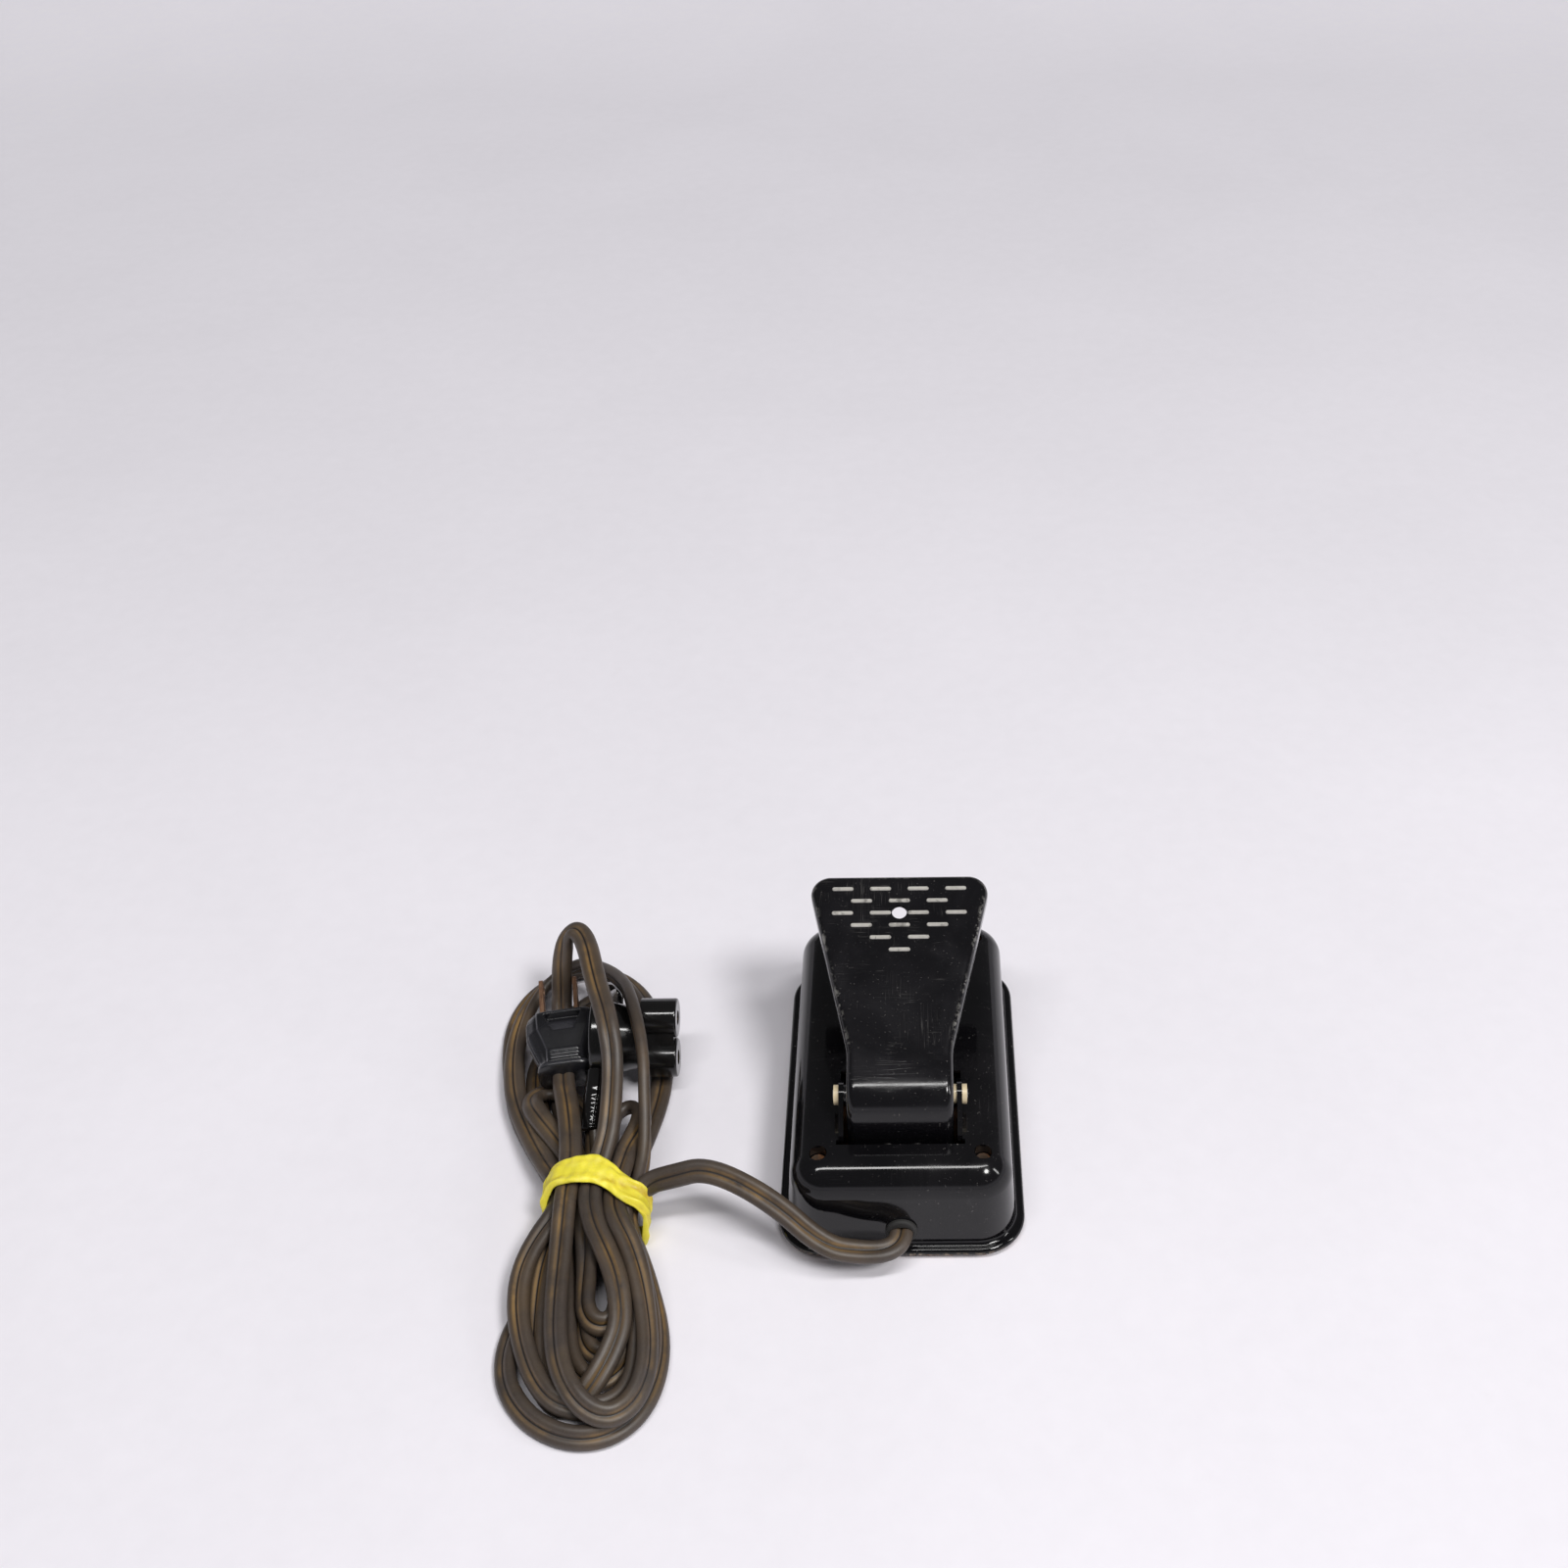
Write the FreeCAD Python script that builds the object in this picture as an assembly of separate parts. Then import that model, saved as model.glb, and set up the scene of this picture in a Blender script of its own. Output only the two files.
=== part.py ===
"""Foot pedal for a sewing machine: pressed-steel case, rocking treadle, stepped speed
controller inside, and a twin flex tied in a hank with its connector and mains plug.

Millimetres. +Z up, +Y from the cord end towards the raised end of the treadle, +X right.
The origin is on the floor, under the centre of the case.
"""
import FreeCAD, Part
import math
import os

V = FreeCAD.Vector
X_AXIS = V(1, 0, 0)
Y_AXIS = V(0, 1, 0)
Z_AXIS = V(0, 0, 1)

# ---------------------------------------------------------------- driving sizes
# case
lip_length = 138.6          # over the rolled lip, along Y
lip_width = 86.0            # over the rolled lip, along X
lip_bottom = 1.2            # underside of the lip above the floor
lip_roll = 1.5              # radius of the rolled edge
lip_overhang = 3.2          # lip's edge out from the wall's foot
wall_corner = 13.4          # plan radius of the wall at its foot
wall_draft = 4.0            # degrees
cover_height = 36.6         # plateau above the floor
cover_edge = 11.0           # rounding between wall and plateau
foot_blend = 1.6            # hollow blend from wall to lip
sheet = 1.2                 # steel sheet
plate_sheet = 1.5           # base plate
seat_gap = 0.1              # between pieces that only lie together
running_gap = 0.05          # radial, round everything that turns

# opening in the plateau, and the two lugs folded up beside it
opening_front = -49.2
opening_rear = -16.0
opening_half = 21.2
notch_out = 0.8
notch_length = 2.2
lug_thickness = 1.7
lug_front = -46.6
lug_rear = -20.5
lug_crown = 4.2

# hinge
pin_y = -33.4
pin_z = 44.0
pin_radius = 2.0
pin_length = 46.4
bush_wall = 0.75
bush_head_radius = 3.45
bush_head_thickness = 1.75
washer_radius = 3.4

# treadle, in its own frame: the pin is at the origin and the plate is level
rest_angle = 17.0           # the plate's rise at rest, degrees
press_travel = 12.0         # degrees from rest to the stop
bend_radius = 13.5          # outside of the front bend, about the pin
bend_turn = 78.0            # degrees of bend between plate and skirt
skirt_length = 19.0
neck_half = 18.2
neck_length = 11.0
tail_half = 33.7
tail_reach = 80.4
tail_corner = 7.0
taper_blend = 25.0
flange_depth = 7.0
flange_round = 2.8
cheek_radius = 7.6
hang_hole_radius = 2.7
hang_hole_reach = tail_reach - 15.8
dash_length = 8.2
dash_width = 2.0
dash_height = 0.55
dash_pitch = 13.6
row_pitch = 5.0
first_row = tail_reach - 6.1
dash_rows = (4, 3, 4, 3, 2, 1)

# return spring between plateau and treadle
spring_reach = 40.0         # along the tread from the pin
spring_wire = 0.6           # wire radius
spring_coil = 3.8
spring_turns = 6.5
spring_boss = 2.8
spring_boss_height = 1.6
cup_seat_radius = 5.4
cup_seat_depth = 4.5
cup_spigot = 2.2
cup_spigot_length = 2.0

# crank that drives the contact arm
crank_left = 9.0
crank_thickness = 2.0
crank_drop = 30.0
crank_eye = 5.0
crank_stem = 1.4
ball_radius = 2.5
tab_left = -8.0
tab_height = 8.0
tab_rise = 2.0
rivet_radius = 1.5
rivet_head = 2.6
rivet_head_height = 1.0

# controller board
board_half = 26.0
board_front = -42.0
board_rear = 17.0
board_bottom = 6.5
board_thickness = 2.0
spacer_radius = 3.0
spacer_inset = 4.5
arm_reach = 40.0
stud_count = 8
stud_radius = 1.5
stud_height = 1.5
stud_pitch = 5.5            # degrees
stud_tail = 1.0
hub_radius = 6.0
pivot_radius = 2.2
blade_thickness = 1.0
blade_width = 6.0
brush_radius = 2.0
brush_height = 1.2
fork_thickness = 3.2
fork_slack = 0.25

# speed resistor
resistor_y = 32.5
resistor_z = 15.5
former_radius = 7.0
former_bore = 2.6
former_length = 54.0
winding_depth = 1.0
winding_turns = 16
winding_margin = 4.0
bracket_thickness = 1.5
bracket_width = 12.0
rod_radius = 2.0
nut_across = 7.0
nut_height = 2.4

# screws, pillars and feet
screw_x = 28.0
screw_y = 52.5
cup_depth = 6.0
cup_radius = 3.0
screw_radius = 1.5
screw_head = 2.7
screw_head_height = 1.8
screw_length = 11.0
slot_width = 0.8
slot_depth = 0.8
pillar_radius = 3.5
pillar_spigot = 2.5
foot_x = 31.0
foot_y = 44.0
foot_radius = 6.0
foot_neck = 3.0
foot_button = 4.5
foot_button_height = 1.4

# cord entry
cord_radius = 3.0
cord_width = 7.8            # the flex is flat; its round tube stands for it here
entry_z = 11.4
entry_bore_half = 4.1
entry_bore_low = 3.05
entry_hole = 4.7
grommet_flange = 5.5
grommet_lip = 1.5
clamp_y = 13.3 - lip_length / 2
clamp_length = 5.0
clamp_half = 9.5
strap_thickness = 1.0
clamp_screw_x = 7.0
small_screw = 1.1
small_head = 1.9
small_head_height = 1.2

# terminal block beside the board
block_x = -15.0
block_y = 21.8 - lip_length / 2
block_length = 20.0
block_depth = 7.0
block_height = 7.0
block_ways = 3
block_pitch = 6.0
block_bore = 1.6

# hook-up wires
wire_radius = 0.9

# flex on the floor: the free stretch, from inside the case to the tied hank
lead_points = [
    (0.15, -52.9, 11.4),
    (0.0, -60.0, 11.4),
    (0.0, -70.2, 11.4),
    (-5.2, -74.4, 11.3),
    (-14.0, -74.8, 11.6),
    (-26.0, -75.2, 15.3),
    (-44.3, -62.6, 25.0),
    (-66.0, -51.4, 28.0),
    (-82.0, -56.4, 24.4),
    (-94.0, -61.6, 19.2),
]

# hank: station along Y, left edge, right edge, underside, top
hank_stations = [
    (-144.0, -110.0, -92.0, 0.2, 5.0),
    (-138.0, -122.0, -84.0, 0.2, 9.0),
    (-120.0, -133.0, -77.5, 0.2, 12.0),
    (-95.0, -132.0, -78.0, 0.2, 15.0),
    (-72.0, -125.0, -86.0, 1.0, 20.0),
    (-54.0, -122.0, -92.0, 1.6, 22.0),
    (-36.0, -126.0, -92.0, 1.0, 18.0),
    (-21.0, -135.0, -96.0, 0.2, 13.5),
    (-8.0, -142.0, -115.0, 0.2, 11.0),
    (16.0, -152.0, -115.0, 0.2, 11.0),
    (38.0, -154.5, -115.0, 0.2, 11.0),
    (52.0, -150.0, -103.0, 0.2, 10.0),
    (76.0, -139.0, -112.0, 0.2, 9.0),
    (94.0, -132.0, -121.0, 0.2, 6.0),
]
# strands of the hank that climb over the connector: centre, half width, half thickness
ridge_stations = [
    (-106.5, -46.0, 11.0, 11.0, 6.0),
    (-106.0, -24.0, 18.0, 11.5, 6.0),
    (-101.3, -8.0, 30.5, 6.0, 4.5),
    (-101.0, 10.0, 39.8, 6.0, 4.0),
    (-101.0, 26.0, 39.4, 6.0, 4.0),
    (-101.5, 41.0, 30.0, 6.0, 4.5),
    (-108.0, 55.0, 11.0, 9.0, 5.5),
    (-114.0, 67.0, 5.5, 9.0, 3.5),
]
band_ends = (-57.2, -49.2)
band_thickness = 1.3

# plug on the mains end of the flex
plug_at = (-124.8, 0.0, 17.8)      # middle of the end where the flex leaves
plug_turn = 10.0
plug_tilt = 8.0
plug_length = 26.0
plug_face_half = 13.0
plug_face_thickness = 13.5
plug_waist_half = 10.2
plug_rear_half = 10.0
plug_rear_thickness = 13.0
blade_gap = 12.7
blade_reach = 18.0
blade_width_plug = 6.3
blade_thickness_plug = 1.5
blade_buried = 6.0

# connector on the machine end of the flex
connector_at = (-114.2, 16.5, 20.3)
disc_radius = 20.0
disc_thickness = 6.0
neck_radius = 12.0
neck_length_connector = 11.5
barrel_radius = 7.3
barrel_pitch = 15.0
barrel_length = 13.0
barrel_lean = 55.0          # degrees from level
sleeve_radius = 2.7
sleeve_bore = 1.9
sleeve_depth = 9.0

# ---------------------------------------------------------------- derived values
half_x = lip_width / 2
half_y = lip_length / 2
lip_corner = wall_corner + lip_overhang
lip_top = lip_bottom + 2 * lip_roll
flange_under = lip_top - sheet
plate_top = flange_under
plate_bottom = plate_top - plate_sheet
draft_slope = math.tan(math.radians(wall_draft))
draft_cos = math.cos(math.radians(wall_draft))
draft_sin = math.sin(math.radians(wall_draft))
lug_inner = opening_half - lug_thickness
cup_floor = cover_height - cup_depth
cup_under = cup_floor - sheet
half_swing = press_travel / 2
board_top = board_bottom + board_thickness
ball_z = pin_z - crank_drop * math.cos(math.radians(half_swing))
ball_y = pin_y + crank_drop * math.sin(math.radians(half_swing))
ball_x = crank_left + crank_thickness / 2
fork_mid = pin_z - crank_drop
fork_bottom = fork_mid - fork_thickness / 2
blade_top = fork_bottom - seat_gap
blade_bottom = blade_top - blade_thickness
arm_swing = math.degrees(math.atan2(crank_drop * math.sin(math.radians(half_swing)), ball_x))
arm_ratio = arm_swing / half_swing


# ---------------------------------------------------------------- general helpers
def export(name, *solids):
    """Write one node; several solids stay separate in a compound."""
    shape = solids[0] if len(solids) == 1 else Part.makeCompound(list(solids))
    for solid in shape.Solids:
        if not solid.isValid() or solid.Volume <= 0:
            raise ValueError("bad solid in " + name)
    shape.exportStep("parts/" + name + ".step")


def cylinder(radius, length, base, axis=Z_AXIS):
    return Part.makeCylinder(radius, length, base, axis)


def tube(radius, bore, length, base, axis=Z_AXIS):
    return cylinder(radius, length, base, axis).cut(cylinder(bore, length, base, axis))


def box(x0, x1, y0, y1, z0, z1):
    return Part.makeBox(x1 - x0, y1 - y0, z1 - z0, V(x0, y0, z0))


def rounded_wire(corners):
    """Closed wire through (point, radius) corners, each corner a tangent arc."""
    count = len(corners)
    starts, mids, ends = [], [], []
    for i, (point, radius) in enumerate(corners):
        back = (corners[i - 1][0] - point).normalize()
        ahead = (corners[(i + 1) % count][0] - point).normalize()
        if radius == 0:
            starts.append(point)
            mids.append(None)
            ends.append(point)
            continue
        half = back.getAngle(ahead) / 2
        bisector = (back + ahead).normalize()
        centre = point + bisector * (radius / math.sin(half))
        starts.append(point + back * (radius / math.tan(half)))
        ends.append(point + ahead * (radius / math.tan(half)))
        mids.append(centre - bisector * radius)
    edges = []
    for i in range(count):
        if mids[i] is not None:
            edges.append(Part.Arc(starts[i], mids[i], ends[i]).toShape())
        edges.append(Part.LineSegment(ends[i], starts[(i + 1) % count]).toShape())
    return Part.Wire(edges)


def rounded_rect(half_width, half_length, radius, z):
    points = [V(half_width, half_length, z), V(-half_width, half_length, z),
              V(-half_width, -half_length, z), V(half_width, -half_length, z)]
    return rounded_wire([(p, radius) for p in points])


def slab(wire, depth):
    return Part.Face(wire).extrude(depth)


def mirrored(solid):
    """The same solid on the other side of the centre plane."""
    return solid.mirror(V(0, 0, 0), X_AXIS)


def on_four_corners(x, y, make):
    return [make(sx * x, sy * y) for sx in (-1, 1) for sy in (-1, 1)]


# ---------------------------------------------------------------- case
def wall_radius(z):
    """Distance of the wall's outside from the corner axis at height z."""
    return wall_corner - (z - lip_top) * draft_slope


def cover_section():
    """Closed section of the cover from a corner axis out over wall and rolled lip."""
    edge_z = cover_height - cover_edge
    start_z = edge_z + cover_edge * draft_sin
    edge_r = wall_radius(start_z) - cover_edge * draft_cos
    inner_edge = cover_edge - sheet
    middle = math.radians(45 + wall_draft / 2)
    blend_r = wall_corner - foot_blend * draft_slope + foot_blend / draft_cos
    blend_z = lip_top + foot_blend
    low = math.radians(180 + wall_draft + 90) / 2 + math.radians(0)
    roll_r = lip_corner - lip_roll
    roll_z = lip_bottom + lip_roll
    rise = flange_under - roll_z
    roll_in = math.sqrt(lip_roll ** 2 - rise ** 2)
    inner_foot = wall_radius(flange_under) - sheet / draft_cos

    def at(r, z):
        return V(r, 0, z)

    def on_edge(radius, angle):
        return at(edge_r + radius * math.cos(angle), edge_z + radius * math.sin(angle))

    start = math.radians(wall_draft)
    blend_top = at(blend_r - foot_blend * draft_cos, blend_z - foot_blend * draft_sin)
    blend_mid_angle = math.radians(180 + wall_draft + (90 - wall_draft) / 2)
    blend_mid = at(blend_r + foot_blend * math.cos(blend_mid_angle),
                   blend_z + foot_blend * math.sin(blend_mid_angle))
    blend_low = at(blend_r, lip_top)
    roll_top = at(roll_r, lip_top)
    roll_low = at(roll_r, lip_bottom)
    roll_end = at(roll_r - roll_in, flange_under)
    roll_back_angle = (math.radians(270) + math.pi - math.asin(rise / lip_roll)) / 2
    roll_back = at(roll_r + lip_roll * math.cos(roll_back_angle),
                   roll_z + lip_roll * math.sin(roll_back_angle))
    edges = [
        Part.LineSegment(at(0, cover_height), on_edge(cover_edge, math.pi / 2)),
        Part.Arc(on_edge(cover_edge, math.pi / 2), on_edge(cover_edge, middle),
                 on_edge(cover_edge, start)),
        Part.LineSegment(on_edge(cover_edge, start), blend_top),
        Part.Arc(blend_top, blend_mid, blend_low),
        Part.LineSegment(blend_low, roll_top),
        Part.Arc(roll_top, at(lip_corner, roll_z), roll_low),
        Part.Arc(roll_low, roll_back, roll_end),
        Part.LineSegment(roll_end, at(inner_foot, flange_under)),
        Part.LineSegment(at(inner_foot, flange_under), on_edge(inner_edge, start)),
        Part.Arc(on_edge(inner_edge, start), on_edge(inner_edge, middle),
                 on_edge(inner_edge, math.pi / 2)),
        Part.LineSegment(on_edge(inner_edge, math.pi / 2), at(0, cover_height - sheet)),
        Part.LineSegment(at(0, cover_height - sheet), at(0, cover_height)),
    ]
    return Part.Face(Part.Wire([edge.toShape() for edge in edges]))


def cover_blank():
    """The drawn shell: the section turned at the four corners and run along the sides."""
    section = cover_section()
    run_x = half_x - lip_corner
    run_y = half_y - lip_corner
    pieces = []
    for turn, corner in ((0, V(run_x, run_y, 0)), (90, V(-run_x, run_y, 0)),
                         (180, V(-run_x, -run_y, 0)), (270, V(run_x, -run_y, 0))):
        face = section.copy()
        face.rotate(V(0, 0, 0), Z_AXIS, turn)
        face.translate(corner)
        pieces.append(face.revolve(corner, Z_AXIS, 90))
        length = 2 * run_x if turn in (90, 270) else 2 * run_y
        side = section.copy()
        side.rotate(V(0, 0, 0), Z_AXIS, turn)
        side.translate(corner)
        direction = V(0, -1, 0)
        run = FreeCAD.Rotation(Z_AXIS, turn).multVec(direction) * length
        pieces.append(side.extrude(run))
    top = box(-run_x, run_x, -run_y, run_y, cover_height - sheet, cover_height)
    return top.multiFuse(pieces).removeSplitter()


def lug():
    """Right-hand ear: a plate that narrows upwards to a round crown about the pin."""
    foot_z = cover_height - sheet
    foot = [V(lug_inner, lug_front, foot_z), V(lug_inner, lug_front, cover_height + sheet),
            V(lug_inner, lug_rear, cover_height + sheet), V(lug_inner, lug_rear, foot_z)]
    centre = V(lug_inner, pin_y, pin_z)

    def tangent(point, side):
        reach = centre - point
        spread = math.asin(lug_crown / reach.Length)
        length = math.sqrt(reach.Length ** 2 - lug_crown ** 2)
        turned = FreeCAD.Rotation(X_AXIS, math.degrees(side * spread)).multVec(reach)
        return point + turned.normalize() * length

    corners = [foot[0], foot[1], tangent(foot[1], -1 * -1), tangent(foot[2], -1), foot[2], foot[3]]
    wire = Part.makePolygon(corners + [corners[0]])
    plate = slab(wire, X_AXIS * lug_thickness)
    crown = cylinder(lug_crown, lug_thickness, centre, X_AXIS)
    hole = cylinder(pin_radius + running_gap + bush_wall + running_gap, lug_thickness,
                    centre, X_AXIS)
    return plate.fuse(crown).removeSplitter().cut(hole)


def wall_point(z):
    """Front wall's outside on the centre plane."""
    return V(0, -(half_y - lip_corner + wall_radius(z)), z)


wall_normal = V(0, -draft_cos, draft_sin)


def cover_shell():
    shell = cover_blank()
    shell = shell.cut(box(-opening_half, opening_half, opening_front, opening_rear,
                          cover_height - 2 * sheet, cover_height + sheet))
    notch = opening_half + notch_out
    shell = shell.cut(box(-notch, notch, opening_front, opening_front + notch_length,
                          cover_height - 2 * sheet, cover_height + sheet))
    right = lug()
    shell = shell.multiFuse([right, mirrored(right)])
    cup_top = cover_height - sheet + 0.2
    for x, y in on_four_corners(screw_x, screw_y, lambda x, y: (x, y)):
        shell = shell.fuse(cylinder(cup_radius + sheet, cup_top - cup_under, V(x, y, cup_under)))
        shell = shell.cut(cylinder(cup_radius, cup_depth + sheet, V(x, y, cup_floor)))
        shell = shell.cut(cylinder(screw_radius + seat_gap, 2 * sheet, V(x, y, cup_under)))
    boss = Part.makeCone(spring_boss, spring_boss - 0.6, spring_boss_height,
                         V(0, spring_seat_y(), cover_height - 0.2))
    shell = shell.fuse(boss)
    entry = wall_point(entry_z)
    shell = shell.cut(cylinder(entry_hole, 4 * sheet, entry + wall_normal * 2 * sheet,
                               wall_normal * -1))
    return shell.removeSplitter()


def base_plate():
    inset = 2 * lip_roll + seat_gap
    plate = slab(rounded_rect(half_x - inset, half_y - inset, lip_corner - inset, plate_bottom),
                 V(0, 0, plate_sheet))
    for x, y in on_four_corners(screw_x, screw_y, lambda x, y: (x, y)):
        plate = plate.cut(cylinder(pillar_spigot, plate_sheet, V(x, y, plate_bottom)))
    for x, y in on_four_corners(foot_x, foot_y, lambda x, y: (x, y)):
        plate = plate.cut(cylinder(foot_neck, plate_sheet, V(x, y, plate_bottom)))
    return plate


def pillar(x, y):
    body = cylinder(pillar_radius, cup_under - plate_top, V(x, y, plate_top))
    spigot = cylinder(pillar_spigot, plate_sheet, V(x, y, plate_bottom))
    bore = cylinder(screw_radius + running_gap, screw_length,
                    V(x, y, cup_floor - screw_length + running_gap))
    return body.fuse(spigot).removeSplitter().cut(bore)


def cover_screw(x, y):
    shank = cylinder(screw_radius, screw_length - 0.5, V(x, y, cup_floor - screw_length + 0.5))
    head = cylinder(screw_head, screw_head_height, V(x, y, cup_floor))
    top = cup_floor + screw_head_height
    slot = box(x - screw_head, x + screw_head, y - slot_width / 2, y + slot_width / 2,
               top - slot_depth, top)
    return shank.fuse(head).removeSplitter().cut(slot)


def rubber_foot(x, y):
    """Push-in foot: a pad under the plate, a neck in its hole and a button above."""
    pad = cylinder(foot_radius, plate_bottom, V(x, y, 0))
    pad = pad.makeFillet(0.5, [edge for edge in pad.Edges if edge.BoundBox.ZMax < 0.01])
    neck = cylinder(foot_neck, plate_sheet, V(x, y, plate_bottom))
    button = Part.makeCone(foot_button, foot_neck, foot_button_height, V(x, y, plate_top))
    return pad.multiFuse([neck, button]).removeSplitter()


# ---------------------------------------------------------------- treadle and hinge
def place_treadle(shape):
    """From the treadle's own frame to its rest pose on the pin."""
    placed = shape.copy()
    placed.rotate(V(0, 0, 0), X_AXIS, rest_angle)
    placed.translate(V(0, pin_y, pin_z))
    return placed


def treadle_outline(inset, level):
    """Plan of the tread: a parallel neck, a taper and rounded rear corners."""
    neck = neck_half - inset
    tail = tail_half - inset
    rear = tail_reach - inset
    return rounded_wire([
        (V(-neck, 0, level), 0),
        (V(neck, 0, level), 0),
        (V(neck, neck_length, level), taper_blend + inset),
        (V(tail, rear, level), tail_corner - inset),
        (V(-tail, rear, level), tail_corner - inset),
        (V(-neck, neck_length, level), taper_blend + inset),
    ])


def pan_block(inset, top, round_radius):
    """Solid under one skin of the tread, its rim rounded except across the neck."""
    low = bend_radius - flange_depth
    block = slab(treadle_outline(inset, low), V(0, 0, top - low))
    rim = [edge for edge in block.Edges
           if edge.BoundBox.ZMin > top - 0.01 and edge.BoundBox.YMax > 0.01]
    return block.makeFillet(round_radius, rim)


def channel_section(inset, top, round_radius):
    """Cross-section of the folded strip, from its flange edges up over its outside."""
    low = bend_radius - flange_depth
    side = neck_half - inset
    return rounded_wire([
        (V(-side, 0, low), 0),
        (V(-side, 0, top), round_radius),
        (V(side, 0, top), round_radius),
        (V(side, 0, low), 0),
    ])


def stadium(x, reach, level, length, width):
    half = (length - width) / 2
    radius = width / 2
    left = V(x - half, reach, level)
    right = V(x + half, reach, level)
    up = V(0, radius, 0)
    out = V(radius, 0, 0)
    return Part.Wire([
        Part.LineSegment(left - up, right - up).toShape(),
        Part.Arc(right - up, right + out, right + up).toShape(),
        Part.LineSegment(right + up, left + up).toShape(),
        Part.Arc(left + up, left - out, left - up).toShape(),
    ])


def dash_places():
    places = []
    for row, count in enumerate(dash_rows):
        for i in range(count):
            places.append(((i - (count - 1) / 2) * dash_pitch, first_row - row * row_pitch))
    return places


def raised_dash(x, reach):
    """Ribs pressed up from below: a low bar with sloping sides."""
    foot = stadium(x, reach, bend_radius - 0.3, dash_length, dash_width)
    crown = stadium(x, reach, bend_radius + dash_height, dash_length - 0.9, dash_width - 0.9)
    return Part.makeLoft([foot, crown], True, True)


def sunk_dash(x, reach):
    under = bend_radius - sheet - 0.3
    return slab(stadium(x, reach, under, dash_length - 1.4, dash_width - 0.9), V(0, 0, 0.8))


def folded_strip(inset, top, round_radius):
    """The strip's bend about the pin and its skirt below, as one solid."""
    face = Part.Face(channel_section(inset, top, round_radius))
    bend = face.revolve(V(0, 0, 0), X_AXIS, bend_turn)
    end = face.copy()
    end.rotate(V(0, 0, 0), X_AXIS, bend_turn)
    heading = FreeCAD.Rotation(X_AXIS, bend_turn).multVec(V(0, -1, 0))
    return bend.fuse(end.extrude(heading * skirt_length))


def treadle():
    outer_round = flange_round
    inner_round = flange_round - sheet
    outer = pan_block(0, bend_radius, outer_round).fuse(
        folded_strip(0, bend_radius, outer_round))
    inner = pan_block(sheet, bend_radius - sheet, inner_round).fuse(
        folded_strip(sheet, bend_radius - sheet, inner_round))
    body = outer.cut(inner)
    for side in (-neck_half, neck_half - sheet):
        cheek = cylinder(cheek_radius, sheet, V(side, 0, 0), X_AXIS)
        body = body.fuse(cheek)
    body = body.cut(cylinder(pin_radius, 2 * neck_half + 2, V(-neck_half - 1, 0, 0), X_AXIS))
    body = body.multiFuse([raised_dash(x, reach) for x, reach in dash_places()])
    for x, reach in dash_places():
        body = body.cut(sunk_dash(x, reach))
    body = body.cut(cylinder(hang_hole_radius, flange_depth, V(0, hang_hole_reach,
                                                              bend_radius - flange_depth / 2)))
    return place_treadle(body.removeSplitter())


def pivot_pin():
    pin = cylinder(pin_radius, pin_length, V(-pin_length / 2, pin_y, pin_z), X_AXIS)
    return pin.makeChamfer(0.4, [edge for edge in pin.Edges if len(edge.Vertexes) == 1])


def pivot_bush(side):
    """Flanged bush in a lug, its head outside."""
    bore = pin_radius + running_gap
    sleeve = tube(bore + bush_wall, bore, lug_thickness, V(lug_inner, pin_y, pin_z), X_AXIS)
    head = tube(bush_head_radius, bore, bush_head_thickness,
                V(opening_half, pin_y, pin_z), X_AXIS)
    bush = sleeve.fuse(head).removeSplitter()
    return bush if side > 0 else mirrored(bush)


def side_washer(side):
    gap = lug_inner - neck_half
    washer = tube(washer_radius, pin_radius + running_gap, gap - 2 * seat_gap,
                  V(neck_half + seat_gap, pin_y, pin_z), X_AXIS)
    return washer if side > 0 else mirrored(washer)


def spring_seat_y():
    """Place of the spring on the plateau: under its seat at the middle of the travel."""
    lean = math.radians(rest_angle - half_swing)
    under = bend_radius - sheet - cup_seat_depth
    return pin_y + spring_reach * math.cos(lean) - under * math.sin(lean)


def spring_cup():
    """Seat under the tread; its face is level at the middle of the travel."""
    under = bend_radius - sheet
    middle = V(0, spring_reach, under - cup_seat_depth)
    body = cylinder(cup_seat_radius, 2 * cup_seat_depth, V(0, spring_reach,
                                                          under - 2 * cup_seat_depth))
    wide = 3 * cup_seat_radius
    below = box(-wide, wide, -wide, wide, -wide, 0)
    below.rotate(V(0, 0, 0), X_AXIS, half_swing - rest_angle)
    below.translate(middle)
    spigot = Part.makeCone(cup_spigot - 0.6, cup_spigot, cup_spigot_length + 0.5,
                           V(0, 0, -cup_spigot_length))
    spigot.rotate(V(0, 0, 0), X_AXIS, half_swing - rest_angle)
    spigot.translate(middle)
    return place_treadle(body.cut(below).fuse(spigot).removeSplitter())


def return_spring():
    """Compression spring from the plateau to its seat under the tread."""
    seat = place_treadle(Part.Vertex(0, spring_reach, bend_radius - sheet - cup_seat_depth))
    centre_y = spring_seat_y()
    reach = spring_coil + spring_wire
    lean = math.tan(math.radians(half_swing))
    high = seat.Z + (centre_y - reach - seat.Y) * lean - seat_gap
    length = high - cover_height - 2 * spring_wire
    helix = Part.makeHelix(length / spring_turns, length, spring_coil)
    section = Part.Wire(Part.makeCircle(spring_wire, V(spring_coil, 0, 0), Y_AXIS))
    coil = Part.Wire(helix).makePipeShell([section], True, True)
    coil.translate(V(0, centre_y, cover_height + spring_wire + 0.02))
    return coil


# ---------------------------------------------------------------- crank on the treadle
def on_skirt(shape):
    """From a frame with the bend's end level to the skirt, in the treadle's frame."""
    placed = shape.copy()
    placed.rotate(V(0, 0, 0), X_AXIS, bend_turn)
    return place_treadle(placed)


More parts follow.
